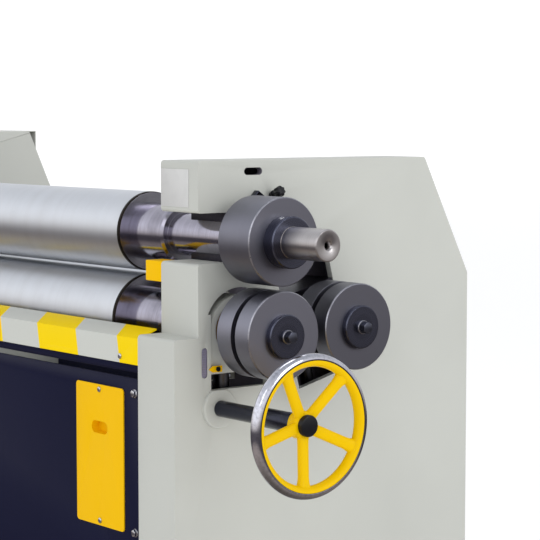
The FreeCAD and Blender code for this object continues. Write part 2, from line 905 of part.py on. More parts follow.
def front_apron():
    """The dark sheet between the housings, with an opening behind the access cover."""
    web = block(LEFT_INNER, RIGHT_INNER, -d.apron_front, APRON_BACK, BASE_TOP, -d.apron_top)
    flange_back = APRON_BACK + d.apron_flange
    left = block(LEFT_INNER, LEFT_INNER + d.apron_sheet, APRON_BACK, flange_back, BASE_TOP, -d.apron_top)
    right = block(RIGHT_INNER - d.apron_sheet, RIGHT_INNER, APRON_BACK, flange_back, BASE_TOP, -d.apron_top)
    x0 = DOOR_LEFT + d.door_lap
    x1 = DOOR_RIGHT - d.door_lap
    tools = [block(x0, x1, -d.apron_front, APRON_BACK, DOOR_FOOT + d.door_lap, -d.door_top - d.door_lap)]
    for z in DOOR_SCREWS:
        tools.append(spindle(d.screw_shank + d.fit, DOOR_MIDDLE, -d.apron_front, APRON_BACK, z))
    keep("front_apron", cut(fuse(web, left, right), *tools))


def access_cover():
    """The yellow cover with its finger slot."""
    front = -d.apron_front - d.sheet
    body = new_body("cover")
    sketch = new_sketch(body, "XZ_Plane")
    top = -d.door_top
    outline(sketch, [(DOOR_LEFT, DOOR_FOOT), (DOOR_RIGHT, DOOR_FOOT), (DOOR_RIGHT, top), (DOOR_LEFT, top)])
    pad(body, sketch, d.sheet)
    place(body, as_size(0), -d.apron_front, as_size(0))
    soften(body, d.corner_radius, runs_along_y)
    z = -d.door_top - d.pull_drop
    x0 = DOOR_MIDDLE - d.pull_half
    x1 = DOOR_MIDDLE + d.pull_half
    tools = [block(x0, x1, front, -d.apron_front, z - d.pull_radius, z + d.pull_radius)]
    for x in (x0, x1):
        tools.append(spindle(d.pull_radius, x, front, -d.apron_front, z))
    for z in DOOR_SCREWS:
        tools.append(spindle(d.screw_shank + d.fit, DOOR_MIDDLE, front, -d.apron_front, z))
    keep("access_cover", cut(body, *tools))


def pan_screw(x, y, z):
    """Make a round-headed screw along Y, with its head in front of a sheet's face at y."""
    head = spindle(d.screw_head_radius, x, y - d.screw_head, y, z)
    shank = spindle(d.screw_shank, x, y, y + d.screw_shank_depth, z)
    return fuse(head, shank)


def panel_screws():
    """The round-headed screws of the trim and the access cover."""
    screws = [pan_screw(DOOR_MIDDLE, -d.apron_front - d.sheet, z) for z in DOOR_SCREWS]
    for x in (RIGHT_INNER - d.trim_screw_end, LEFT_INNER + d.trim_screw_end):
        screws.append(pan_screw(x, -d.front_reach, -d.trim_screw_height))
    keep("panel_screws", group(*screws))


def apron_bolts():
    """The hexagon bolts that hold the apron, two at each end."""
    bolts = []
    for x in (RIGHT_INNER - d.apron_bolt_end, LEFT_INNER + d.apron_bolt_end):
        for z in (-d.apron_bolt_height, -d.apron_bolt_height - d.apron_bolt_drop):
            washer_front = -d.apron_front - d.apron_bolt_washer_thickness
            washer = spindle(d.apron_bolt_washer, x, washer_front, -d.apron_front, z)
            head = hexagon(d.apron_bolt_flats, d.apron_bolt_head, x, washer_front, z, (1, 0, 0), 90)
            bolts.append(fuse(washer, head))
    keep("apron_bolts", group(*bolts))


def tie_bars():
    """Four round bars that tie the housings together."""
    rear = BACK - d.rear_tie_inset
    spots = [(-d.front_tie_front, -d.front_tie_height), (-d.low_tie_front, BASE_TOP + d.low_tie_height)]
    spots += [(rear, -d.rear_tie_height), (rear, BASE_TOP + d.rear_low_tie_height)]
    keep("tie_bars", group(*[rod(d.tie_radius, LEFT_INNER, RIGHT_INNER, y, z) for y, z in spots]))


def rear_cover():
    """The flat sheet that closes the bay at the back."""
    back = BACK - d.back_panel_inset
    low = BASE_TOP + d.back_panel_low
    keep("rear_cover", block(LEFT_INNER, RIGHT_INNER, back - d.sheet, back, low, -d.back_panel_high))


def drive_cover():
    """The sheet cabinet over the drive, open towards the left housing and below."""
    top = d.left_housing_top
    outer = block(CABINET_END, LEFT_OUTER, -d.front_reach, BACK, BASE_TOP, top)
    front = d.sheet - d.front_reach
    inner = block(CABINET_END + d.sheet, LEFT_OUTER, front, BACK - d.sheet, BASE_TOP, top - d.sheet)
    tools = [inner]
    skin = CABINET_END + d.sheet
    for number in range(int(d.louvre_count.value)):
        z = number * d.louvre_pitch - d.louvre_low
        tools.append(block(CABINET_END, skin, d.louvre_front, d.louvre_back, z, z + d.louvre_height))
    keep("drive_cover", cut(outer, *tools))


def jack_brackets():
    """The cross plates in the housings that carry the jacking nuts."""
    bore = d.hub_radius + d.fit
    right = (RIGHT_INNER + d.plate, -d.plate)
    left = (LEFT_OUTER + d.plate, LEFT_CAVITY_END)
    high = -d.wheel_half - d.collar_thickness
    low = high - d.bracket_thickness
    half = d.bracket_half
    plates = []
    for (x0, x1), x in zip((right, left), JACKS):
        z = HAND_SHAFT[1]
        upright = block(x0, x1, -half, half, z + low, z + high)
        plates.append(cut(upright, post(bore, x, as_size(0), z + low, z + high)))
        along = -d.rear_jack_depth
        leaning = leaning_block(x0, x1, -half, half, along + low, along + high)
        plates.append(cut(leaning, leaning_post(bore, x, along + low, along + high)))
    keep("jack_brackets", group(*plates))


def jack_nut(label, screw_radius, x, y, z, lean):
    """A toothed nut that turns in its bracket and moves a jacking screw."""
    collar = -d.wheel_half - d.collar_thickness + d.thrust_gap
    body = new_body("nut")
    sketch = new_sketch(body, "XZ_Plane")
    bore = screw_radius + d.fit
    half = d.wheel_half
    points = [(bore, -d.hub_end), (d.hub_radius, -d.hub_end), (d.hub_radius, collar)]
    points += [(d.nut_collar_radius, collar), (d.nut_collar_radius, -half), (d.wheel_radius, -half)]
    points += [(d.wheel_radius, half), (bore, half)]
    outline(sketch, points)
    feature = body.newObject("PartDesign::Revolution", "nut_turned")
    feature.Profile = sketch
    feature.ReferenceAxis = (sketch, ["V_Axis"])
    feature.Angle = 360
    notch = new_sketch(body, "XY_Plane")
    floor = d.wheel_radius - d.wheel_tooth_depth
    side = d.wheel_tooth_half
    reach = d.wheel_radius + side
    outline(notch, [(floor, -side), (reach, -side), (reach, side), (floor, side)])
    pocket = body.newObject("PartDesign::Pocket", "nut_notch")
    pocket.Profile = notch
    pocket.Midplane = True
    bind(pocket, "Length", 2 * half)
    repeat(body, pocket, notch, "N_Axis", d.nut_teeth)
    place(body, x, y, z, (1, 0, 0), lean)
    keep(label, body)


def jack_nuts():
    """The two nuts of the pinch roll and the two of the rear roll."""
    for side, x in zip(("right", "left"), JACKS):
        jack_nut("pinch_nut_" + side, d.pinch_screw_radius, x, as_size(0), HAND_SHAFT[1], 0)
    for side, x in zip(("right", "left"), JACKS):
        y, z = rear_spot(as_size(0), -d.rear_jack_depth)
        jack_nut("rear_nut_" + side, d.rear_screw_radius, x, y, z, d.rear_lean)


def top_bearing_shoe():
    """The open-fronted shoe that the top roll's right journal rests in."""
    low = d.guide_gap - d.notch_drop
    high = d.notch_rise - d.guide_gap
    x0 = RIGHT_INNER + d.shoe_inner_gap
    x1 = -d.shoe_inner_gap
    solid = block(x0, x1, -d.shoe_front, d.shoe_back, low, high)
    bore = d.top_journal + d.fit
    keep("top_bearing_shoe", cut(solid, rod(bore, x0, x1, as_size(0), as_size(0))))


CHEEKS = (
    (GEAR_RIGHT + d.gear_side_gap, GEAR_RIGHT + d.gear_side_gap + d.yoke_cheek),
    (GEAR_LEFT - d.gear_side_gap - d.yoke_cheek, GEAR_LEFT - d.gear_side_gap),
)
TOP_BEARINGS = (d.top_journal, d.tail_radius)


def swing_yoke():
    """The forked carrier that holds the top roll's left end and swings about the king pin."""
    zero = as_size(0)
    pieces = [block(x0, x1, -d.yoke_half, d.yoke_half, -d.yoke_foot, d.yoke_roof_high) for x0, x1 in CHEEKS]
    roof = block(CHEEKS[1][0], CHEEKS[0][1], -d.yoke_half, d.yoke_half, d.yoke_roof_low, d.yoke_roof_high)
    tools = [post(d.pin_radius + d.fit, PIVOT_X, zero, d.yoke_roof_low, d.yoke_roof_high)]
    for (x0, x1), radius in zip(CHEEKS, TOP_BEARINGS):
        tools.append(rod(radius + d.bush_wall, x0, x1, zero, zero))
    keep("swing_yoke", cut(fuse(roof, *pieces), *tools))


def bush(radius, wall, x0, x1, y, z):
    """Make one plain bearing bush."""
    outer = radius + wall
    bore = radius + d.fit
    return turned("bush", [(x0, outer), (x1, outer)], y, z, bore)


def bushes():
    """The bronze bushes of the yoke and of the bearing blocks."""
    zero = as_size(0)
    rings = []
    for (x0, x1), radius in zip(CHEEKS, TOP_BEARINGS):
        rings.append(bush(radius, d.bush_wall, x0, x1, zero, zero))
    keep("top_roll_bushes", group(*rings))
    rings = [bush(d.pinch_journal, d.block_bush_wall, x0, x1, zero, PINCH_Z) for x0, x1 in BLOCKS]
    keep("pinch_bushes", group(*rings))
    rings = [bush(d.rear_journal, d.block_bush_wall, x0, x1, d.rear_back, REAR_Z) for x0, x1 in BLOCKS]
    keep("rear_bushes", group(*rings))


def pinch_blocks():
    """The round-topped bearing blocks of the pinch roll."""
    zero = as_size(0)
    blocks = []
    for x0, x1 in BLOCKS:
        foot = block(x0, x1, -BLOCK_HALF, BLOCK_HALF, PINCH_Z - d.pinch_block_foot, PINCH_Z)
        crown = rod(BLOCK_HALF, x0, x1, zero, PINCH_Z)
        bore = rod(d.pinch_journal + d.block_bush_wall, x0, x1, zero, PINCH_Z)
        blocks.append(cut(fuse(foot, crown), bore))
    keep("pinch_blocks", group(*blocks))


def rear_blocks():
    """The leaning bearing blocks of the rear roll."""
    blocks = []
    half = d.rear_block_half
    for x0, x1 in BLOCKS:
        solid = leaning_block(x0, x1, -BLOCK_HALF, BLOCK_HALF, -half, half)
        bore = rod(d.rear_journal + d.block_bush_wall, x0, x1, d.rear_back, REAR_Z)
        blocks.append(cut(solid, bore))
    keep("rear_blocks", group(*blocks))


def jack_screws():
    """The screws that carry the bearing blocks."""
    zero = as_size(0)
    top = PINCH_Z - d.pinch_block_foot
    foot = PINCH_Z - d.pinch_screw_end
    keep("pinch_screws", group(*[post(d.pinch_screw_radius, x, zero, foot, top) for x in JACKS]))
    half = d.rear_block_half
    leaning = [leaning_post(d.rear_screw_radius, x, -d.rear_screw_end, -half) for x in JACKS]
    keep("rear_screws", group(*leaning))


BODY_LEFT = LEFT_INNER + d.left_shoulder_setback
NECK_LEFT = LEFT_INNER + d.left_neck_setback
BODY_RIGHT = RIGHT_INNER - d.shoulder_setback
NECK_RIGHT = RIGHT_INNER - d.neck_setback


def roll_middle(radius, neck, journal, left, right, extra):
    """Return the outline from the left journal over the working length to the right journal."""
    start = BODY_LEFT + extra
    end = BODY_RIGHT - extra
    points = [(left, journal), (NECK_LEFT, journal), (NECK_LEFT, neck), (start, neck)]
    points += [(start, radius - d.edge_break), (start + d.edge_break, radius)]
    points += [(end - d.edge_break, radius), (end, radius - d.edge_break), (end, neck)]
    points += [(NECK_RIGHT - d.neck_break, neck), (NECK_RIGHT, neck - d.neck_break), (NECK_RIGHT, journal)]
    return points + [(right, journal)]


def top_roll():
    """The top roll, from its tail in the swing yoke to its long right-hand shaft end."""
    zero = as_size(0)
    tail_end = CHEEKS[1][0] - d.gear_side_gap
    seat_left = GEAR_LEFT - d.gear_side_gap / 2
    seat_right = GEAR_RIGHT + d.gear_side_gap / 2
    end = d.top_shaft_end
    points = [(tail_end, d.tail_radius), (seat_left, d.tail_radius), (seat_left, d.top_gear_seat)]
    points.append((seat_right, d.top_gear_seat))
    start = d.top_section_start
    points += roll_middle(d.top_roll_radius, d.top_neck, d.top_journal, seat_right, start, zero)
    relief = d.stub_radius - d.relief_depth
    relief_end = d.collar_end + d.relief_width
    points += [(start, TOP_SEAT), (d.collar_end, TOP_SEAT), (d.collar_end, relief), (relief_end, relief)]
    points += [(relief_end, d.stub_radius), (end - d.edge_break, d.stub_radius)]
    points.append((end, d.stub_radius - d.edge_break))
    body = turned("top", points, zero, zero)
    centre = doc.addObject("Part::Cone", "centre_hole")
    bind(centre, "Radius1", 0)
    bind(centre, "Radius2", d.centre_hole)
    bind(centre, "Height", d.centre_hole * math.sqrt(3))
    place(centre, end - d.centre_hole * math.sqrt(3), zero, zero, (0, 1, 0), 90)
    keep("top_roll", cut(body, centre))


def lower_roll(name, points, y, z):
    """Make a lower roll with the bolt hole in its right end."""
    tail = [(d.section_start, d.stub_radius), (d.lower_shaft_end, d.stub_radius)]
    body = turned(name, points + tail, y, z)
    hole_start = d.section_end + d.end_washer_thickness - d.end_bolt_depth
    return cut(body, rod(d.end_bolt_shank, hole_start, d.lower_shaft_end, y, z))


def pinch_roll():
    """The driven lower roll, with its gear seat and its stub for the gearbox."""
    seat_left = GEAR_LEFT
    stub = LEFT_OUTER - d.drive_stub_end
    points = [(stub, d.drive_stub_radius), (seat_left, d.drive_stub_radius), (seat_left, d.pinch_gear_seat)]
    points.append((GEAR_RIGHT, d.pinch_gear_seat))
    radius = d.pinch_roll_radius
    start = d.section_start
    points += roll_middle(radius, d.pinch_neck, d.pinch_journal, GEAR_RIGHT, start, d.pinch_extra)
    keep("pinch_roll", lower_roll("pinch", points, as_size(0), PINCH_Z))


def rear_roll():
    """The rear bending roll."""
    left = LEFT_BLOCK[0] - d.gear_side_gap / 2
    zero = as_size(0)
    points = roll_middle(d.rear_roll_radius, d.rear_neck, d.rear_journal, left, d.section_start, zero)
    keep("rear_roll", lower_roll("rear", points, d.rear_back, REAR_Z))


def section_roll(label, radius, start, seat, y, z, grooved):
    """Make one of the section rolls outside the right housing, bored for its seat."""
    break_ = d.edge_break
    end = d.section_end
    points = [(start, radius - break_), (start + break_, radius)]
    if grooved:
        points += [(d.groove_start, radius), (d.groove_start, d.groove_radius)]
        points += [(d.groove_end, d.groove_radius), (d.groove_end, radius)]
    points += [(end - break_, radius), (end, radius - break_)]
    keep(label, turned("section", points, y, z, seat + d.fit))


def section_rolls():
    """The three section rolls."""
    zero = as_size(0)
    start = d.section_start
    seat = d.stub_radius
    section_roll("top_section_roll", d.top_section_radius, d.top_section_start, TOP_SEAT, zero, zero, False)
    section_roll("front_section_roll", d.front_section_radius, start, seat, zero, PINCH_Z, True)
    section_roll("rear_section_roll", d.rear_section_radius, start, seat, d.rear_back, REAR_Z, True)


def top_collar():
    """The collar that holds the top section roll on its shaft."""
    radius = d.collar_radius
    end = d.collar_end
    points = [(d.section_end, radius), (end - d.edge_break, radius), (end, radius - d.edge_break)]
    keep("top_collar", turned("collar", points, as_size(0), as_size(0), TOP_SEAT + d.fit))


def end_fasteners():
    """The end washers and bolts of the two lower rolls."""
    face = d.section_end + d.end_washer_thickness
    bolt_start = face - d.end_bolt_depth
    flange_end = face + d.end_bolt_flange_thickness
    radius = d.end_washer_radius
    for name, y, z in (("front", as_size(0), PINCH_Z), ("rear", d.rear_back, REAR_Z)):
        points = [(d.section_end, radius), (face - d.edge_break, radius), (face, radius - d.edge_break)]
        keep(name + "_end_washer", turned("end_washer", points, y, z, d.end_bolt_shank + d.fit))
        shank = rod(d.end_bolt_shank, bolt_start, face, y, z)
        flange = rod(d.end_bolt_flange, face, flange_end, y, z)
        head = hexagon(d.end_bolt_flats, d.end_bolt_head, flange_end, y, z, (0, 1, 0), 90)
        keep(name + "_end_bolt", fuse(shank, flange, head))


def gear(label, tip, bore, count, z):
    """Make a straight-toothed gear with generous gaps, one tooth pointing up."""
    root = tip - d.gear_tooth
    body = new_body("gear")
    disc = new_sketch(body, "YZ_Plane")
    circle(disc, 0, 0, root)
    circle(disc, 0, 0, bore + d.fit)
    pad(body, disc, d.gear_face)
    tooth = new_sketch(body, "YZ_Plane")
    foot = root - d.gear_tip_half
    wide = d.gear_root_half
    narrow = d.gear_tip_half
    outline(tooth, [(-wide, foot), (wide, foot), (narrow, tip), (-narrow, tip)])
    repeat(body, pad(body, tooth, d.gear_face), tooth, "N_Axis", count)
    place(body, GEAR_LEFT, as_size(0), z)
    keep(label, body)


def gears():
    """The pair of gears that drives the top roll from the pinch roll."""
    gear("top_gear", d.top_gear_tip, d.top_gear_seat, d.top_gear_teeth, as_size(0))
    gear("pinch_gear", d.pinch_gear_tip, d.pinch_gear_seat, d.pinch_gear_teeth, PINCH_Z)


def gearbox():
    """The shaft-mounted gearbox on the pinch roll's left stub."""
    half = d.gearbox_half
    low = -d.gearbox_centre - d.gearbox_height / 2
    high = -d.gearbox_centre + d.gearbox_height / 2
    points = [(-half, low), (half, low), (half, high), (-half, high)]
    body = profile("gearbox_case", points, GEARBOX_LEFT, GEARBOX_RIGHT)
    soften(body, d.gearbox_break, runs_along_x)
    stub = LEFT_OUTER - d.drive_stub_end - d.gear_side_gap
    bore = rod(d.drive_stub_radius + d.fit, stub, GEARBOX_RIGHT, as_size(0), PINCH_Z)
    keep("gearbox", cut(body, bore))


def drive_motor():
    """The motor on the back of the gearbox."""
    x = (GEARBOX_LEFT + GEARBOX_RIGHT) / 2
    start = d.gearbox_half
    middle = start + d.motor_nose
    nose = spindle(d.motor_nose_radius, x, start, middle, -d.gearbox_centre)
    barrel = spindle(d.motor_radius, x, middle, start + d.motor_length, -d.gearbox_centre)
    keep("drive_motor", fuse(nose, barrel))


def rear_adjust_motor():
    """The small motor that turns the rear cross shaft, on the left housing's outer face."""
    flange_end = LEFT_OUTER - d.rear_motor_flange_thickness
    flange = rod(d.rear_motor_flange, flange_end, LEFT_OUTER, *REAR_SHAFT)
    barrel = rod(d.rear_motor_radius, LEFT_OUTER - d.rear_motor_length, flange_end, *REAR_SHAFT)
    socket = LEFT_OUTER - d.rear_shaft_drive - d.gear_side_gap
    bore = rod(d.rear_shaft_radius + d.fit, socket, LEFT_OUTER, *REAR_SHAFT)
    keep("rear_adjust_motor", cut(fuse(flange, barrel), bore))


def worm_shaft(radius, worm, left, right, y, z):
    """Make a cross shaft with a worm in front of each jacking nut."""
    pieces = [rod(radius, left, right, y, z)]
    pieces += [rod(worm, x - d.worm_half, x + d.worm_half, y, z) for x in JACKS]
    return pieces


def shafts():
    """The pinch roll's hand shaft with its sleeve, and the rear cross shaft."""
    y, z = HAND_SHAFT
    wheel_start = HUB_PLANE - d.wheel_hub_half
    pieces = worm_shaft(d.hand_shaft_radius, d.worm_radius, LEFT_OUTER + d.plate / 2, wheel_start, y, z)
    pieces.append(rod(d.sleeve_radius, d.sleeve_start, wheel_start, y, z))
    keep("handwheel_shaft", fuse(*pieces))
    y, z = REAR_SHAFT
    left = LEFT_OUTER - d.rear_shaft_drive
    right = -d.rear_shaft_setback - d.thrust_gap
    keep("rear_cross_shaft", fuse(*worm_shaft(d.rear_shaft_radius, d.rear_worm_radius, left, right, y, z)))


def handwheel():
    """The handwheel, whose five spokes lean from the set-back hub out to the rim."""
    body = new_body("wheel")
    hub = new_sketch(body, "XZ_Plane")
    start = HUB_PLANE - d.wheel_hub_half
    end = HUB_PLANE + d.wheel_hub_half
    zero = as_size(0)
    radius = d.wheel_hub_radius
    points = [(start, zero), (start, radius), (end - d.edge_break, radius)]
    outline(hub, points + [(end, radius - d.edge_break), (end, zero)])
    revolve(body, hub)
    rim = new_sketch(body, "XZ_Plane")
    circle(rim, d.wheel_plane, d.rim_centre_radius, d.rim_tube_radius)
    revolve(body, rim)
    spoke = new_sketch(body, "XY_Plane")
    depth = d.spoke_half_depth
    slot(spoke, HUB_PLANE, d.spoke_half_width - depth, depth)
    arm = pad(body, spoke, d.rim_centre_radius)
    arm.UseCustomVector = True
    arm.Direction = FreeCAD.Vector(d.wheel_dish.value, 0, d.rim_centre_radius.value)
    arm.setExpression("Direction.x", d.wheel_dish.text)
    arm.setExpression("Direction.z", d.rim_centre_radius.text)
    repeat(body, arm, rim, "H_Axis", d.spoke_count)
    place(body, zero, *HAND_SHAFT, (1, 0, 0), d.first_spoke)
    keep("handwheel", body)
    cap_end = end + d.wheel_cap
    points = [(end, d.wheel_cap_radius), (cap_end - d.edge_break, d.wheel_cap_radius)]
    points.append((cap_end, d.wheel_cap_radius - d.edge_break))
    keep("handwheel_cap", turned("cap", points, *HAND_SHAFT))


def slot(sketch, x, reach, radius):
    """Draw an obround that lies along the sketch's second axis, with round ends of a radius."""
    x, reach, radius = as_size(x), as_size(reach), as_size(radius)
    up = FreeCAD.Vector(0, 0, 1)
    left = x.value - radius.value
    right = x.value + radius.value
    top = reach.value
    upper = Part.Circle(FreeCAD.Vector(x.value, top, 0), up, radius.value)
    lower = Part.Circle(FreeCAD.Vector(x.value, -top, 0), up, radius.value)
    falling = Part.LineSegment(FreeCAD.Vector(left, top, 0), FreeCAD.Vector(left, -top, 0))
    rising = Part.LineSegment(FreeCAD.Vector(right, -top, 0), FreeCAD.Vector(right, top, 0))
    first = sketch.addGeometry(Part.ArcOfCircle(upper, 0, math.pi), False)
    sketch.addGeometry(falling, False)
    sketch.addGeometry(Part.ArcOfCircle(lower, math.pi, 2 * math.pi), False)
    sketch.addGeometry(rising, False)
    for number in range(4):
        following = first + (number + 1) % 4
        sketch.addConstraint(Sketcher.Constraint("Tangent", first + number, 2, following, 1))
    tied = sketch.addConstraint(Sketcher.Constraint("Radius", first, radius.value))
    sketch.setExpression("Constraints[%d]" % tied, radius.text)
    sketch.addConstraint(Sketcher.Constraint("Equal", first, first + 2))
    fix(sketch, "DistanceX", first, 3, x)
    fix(sketch, "DistanceY", first, 3, reach)
    fix(sketch, "DistanceX", first + 2, 3, x)
    fix(sketch, "DistanceY", first + 2, 3, -reach)


def thickness_pointer():
    """The yellow pointer on the right pinch block, and its screw."""
    face = d.pointer_gap
    front = d.pointer_sheet + face
    half = d.pointer_half
    tip = -d.pointer_front
    shoulder = tip + d.pointer_tip
    back = -d.pointer_back
    low = -d.pointer_height - half
    high = half - d.pointer_height
    points = [(tip, -d.pointer_height), (shoulder, low), (back, low), (back, high), (shoulder, high)]
    plate = profile("pointer", points, face, front)
    y = -d.pointer_screw_front
    z = -d.pointer_height
    boss = rod(d.pointer_boss, -d.block_outer_gap, face, y, z)
    hole = rod(d.screw_shank + d.fit, -d.block_outer_gap, front, y, z)
    keep("thickness_pointer", cut(fuse(plate, boss), hole))
    shank = rod(d.screw_shank, -d.block_outer_gap, front, y, z)
    head = rod(d.pointer_screw_head, front, front + d.pointer_screw_depth, y, z)
    keep("pointer_screw", fuse(shank, head))


PANEL_RIGHT = LEFT_INNER - d.panel_left
PANEL_LEFT = PANEL_RIGHT - d.panel_width
PANEL_BACK = -d.left_column_reach
PANEL_FRONT = PANEL_BACK - d.panel_depth
CONTROLS = (
    ("stop_button", PANEL_LEFT + d.panel_width / 2, d.stop_row),
    ("forward_button", PANEL_LEFT + d.button_inset, d.button_row),
    ("reverse_button", PANEL_RIGHT - d.button_inset, d.button_row),
    ("rear_switch", PANEL_LEFT + d.panel_width / 2, d.switch_row),
)


def control_box():
    """The hollow control box on the left housing's column."""
    outer = block(PANEL_LEFT, PANEL_RIGHT, PANEL_FRONT, PANEL_BACK, -d.panel_low, d.panel_high)
    left = PANEL_LEFT + d.sheet
    right = PANEL_RIGHT - d.sheet
    front = PANEL_FRONT + d.sheet
    back = PANEL_BACK - d.sheet
    inner = block(left, right, front, back, d.sheet - d.panel_low, d.panel_high - d.sheet)
    tools = [inner]
    for _, x, z in CONTROLS:
        tools.append(spindle(d.button_stem + d.thrust_gap, x, PANEL_FRONT, front, z))
    keep("control_box", cut(outer, *tools))


def controls():
    """The stop, forward and reverse buttons and the rear roll's switch."""
    back = PANEL_FRONT + d.button_depth
    for label, x, z in CONTROLS:
        cap_back = PANEL_FRONT - d.button_proud
        cap_front = cap_back - d.button_cap
        radius = d.stop_radius if label == "stop_button" else d.button_radius
        stem = spindle(d.button_stem, x, cap_back, back, z)
        pieces = [stem, spindle(radius, x, cap_front, cap_back, z)]
        if label == "rear_switch":
            bar = d.button_stem / 2
            half = bar / 2
            pieces.append(block(x - half, x + half, cap_front - bar, cap_front, z - radius, z + radius))
        keep(label, fuse(*pieces))


MAKERS = (
    base_rails, base_cross_members, right_housing, left_housing, king_pin, guard_block, sign_plate,
    scale_strip, stop_lug, lock_knob, front_trim, front_apron, access_cover, panel_screws, apron_bolts,
    tie_bars, rear_cover, drive_cover, jack_brackets, jack_nuts, top_bearing_shoe, swing_yoke, bushes,
    pinch_blocks, rear_blocks, jack_screws, top_roll, pinch_roll, rear_roll, section_rolls, top_collar,
    end_fasteners, gears, gearbox, drive_motor, rear_adjust_motor, shafts, handwheel, thickness_pointer,
    control_box, controls,
)
for maker in MAKERS:
    maker()
doc.recompute()

for thing in doc.Objects:
    if "Invalid" in thing.State or "Error" in thing.State:
        raise RuntimeError("%s did not compute: %s" % (thing.Label, thing.State))
for thing in PARTS:
    if thing.Shape.isNull() or not thing.Shape.isValid():
        raise RuntimeError("%s has no valid shape" % thing.Label)

os.makedirs("parts", exist_ok=True)
for thing in PARTS:
    thing.Shape.exportStep("parts/%s.step" % thing.Label)
print("%d sub-parts written" % len(PARTS))
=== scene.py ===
import json
import logging
import math
from dataclasses import dataclass
from enum import Enum

import bmesh
import bpy
from mathutils import Matrix, Vector


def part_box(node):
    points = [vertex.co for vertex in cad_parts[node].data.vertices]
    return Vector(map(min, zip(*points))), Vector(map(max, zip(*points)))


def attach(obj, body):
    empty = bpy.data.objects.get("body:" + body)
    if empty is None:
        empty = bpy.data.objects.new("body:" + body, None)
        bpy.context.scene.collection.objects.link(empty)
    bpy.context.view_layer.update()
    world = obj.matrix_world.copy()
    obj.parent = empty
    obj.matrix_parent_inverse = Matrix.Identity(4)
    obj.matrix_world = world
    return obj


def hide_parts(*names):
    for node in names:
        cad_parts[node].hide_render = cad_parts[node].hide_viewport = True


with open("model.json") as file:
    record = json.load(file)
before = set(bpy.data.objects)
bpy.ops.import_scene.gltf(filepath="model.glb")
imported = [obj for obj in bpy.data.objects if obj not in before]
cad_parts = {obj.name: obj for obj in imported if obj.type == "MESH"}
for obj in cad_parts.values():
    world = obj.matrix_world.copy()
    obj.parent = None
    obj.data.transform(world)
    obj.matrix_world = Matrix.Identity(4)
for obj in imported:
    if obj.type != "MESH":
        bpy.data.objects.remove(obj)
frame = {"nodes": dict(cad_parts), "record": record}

log = logging.getLogger("plate_roll")
MM = 0.001
WELD = 0.004
FLAT = math.radians(1.0)

Point = tuple[float, float, float]
Colour = tuple[float, float, float]


def linear(red: int, green: int, blue: int) -> Colour:
    """Turn a colour as seen on a screen into the linear values that shaders use.

    Args:
        red: Red from 0 to 255.
        green: Green from 0 to 255.
        blue: Blue from 0 to 255.

    Returns:
        The three linear values.
    """
    shares = [value / 255 for value in (red, green, blue)]
    return tuple(s / 12.92 if s <= 0.04045 else ((s + 0.055) / 1.055) ** 2.4 for s in shares)


def tint(colour: Colour, share: float) -> Colour:
    """Darken a linear colour to a share of itself."""
    return tuple(share * part for part in colour)


class Value:
    """A number that changes over a surface. Arithmetic on it adds Math nodes."""

    def __init__(self, paint: "Paint", socket: bpy.types.NodeSocket) -> None:
        """Wrap a socket of a paint's node tree."""
        self.paint = paint
        self.socket = socket

    def apply(self, operation: str, *others: "Value | float") -> "Value":
        """Work out one Math node from this value and others.

        Args:
            operation: The Math node's operation.
            others: The second and third inputs.

        Returns:
            The result as a value.
        """
        inputs = {number: item for number, item in enumerate((self, *others))}
        node = self.paint.node("ShaderNodeMath", {"operation": operation}, inputs)
        return Value(self.paint, node.outputs[0])

    def __add__(self, other: "Value | float") -> "Value":
        """Add."""
        return self.apply("ADD", other)

    def __sub__(self, other: "Value | float") -> "Value":
        """Take away."""
        return self.apply("SUBTRACT", other)

    def __mul__(self, other: "Value | float") -> "Value":
        """Multiply."""
        return self.apply("MULTIPLY", other)

    def root(self) -> "Value":
        """Take the square root."""
        return self.apply("SQRT")

    def step(self, start: float, end: float) -> "Value":
        """Rise smoothly from 0 at start to 1 at end."""
        inputs = {"Value": self, "From Min": start, "From Max": end}
        node = self.paint.node("ShaderNodeMapRange", {"interpolation_type": "SMOOTHSTEP"}, inputs)
        return Value(self.paint, node.outputs["Result"])


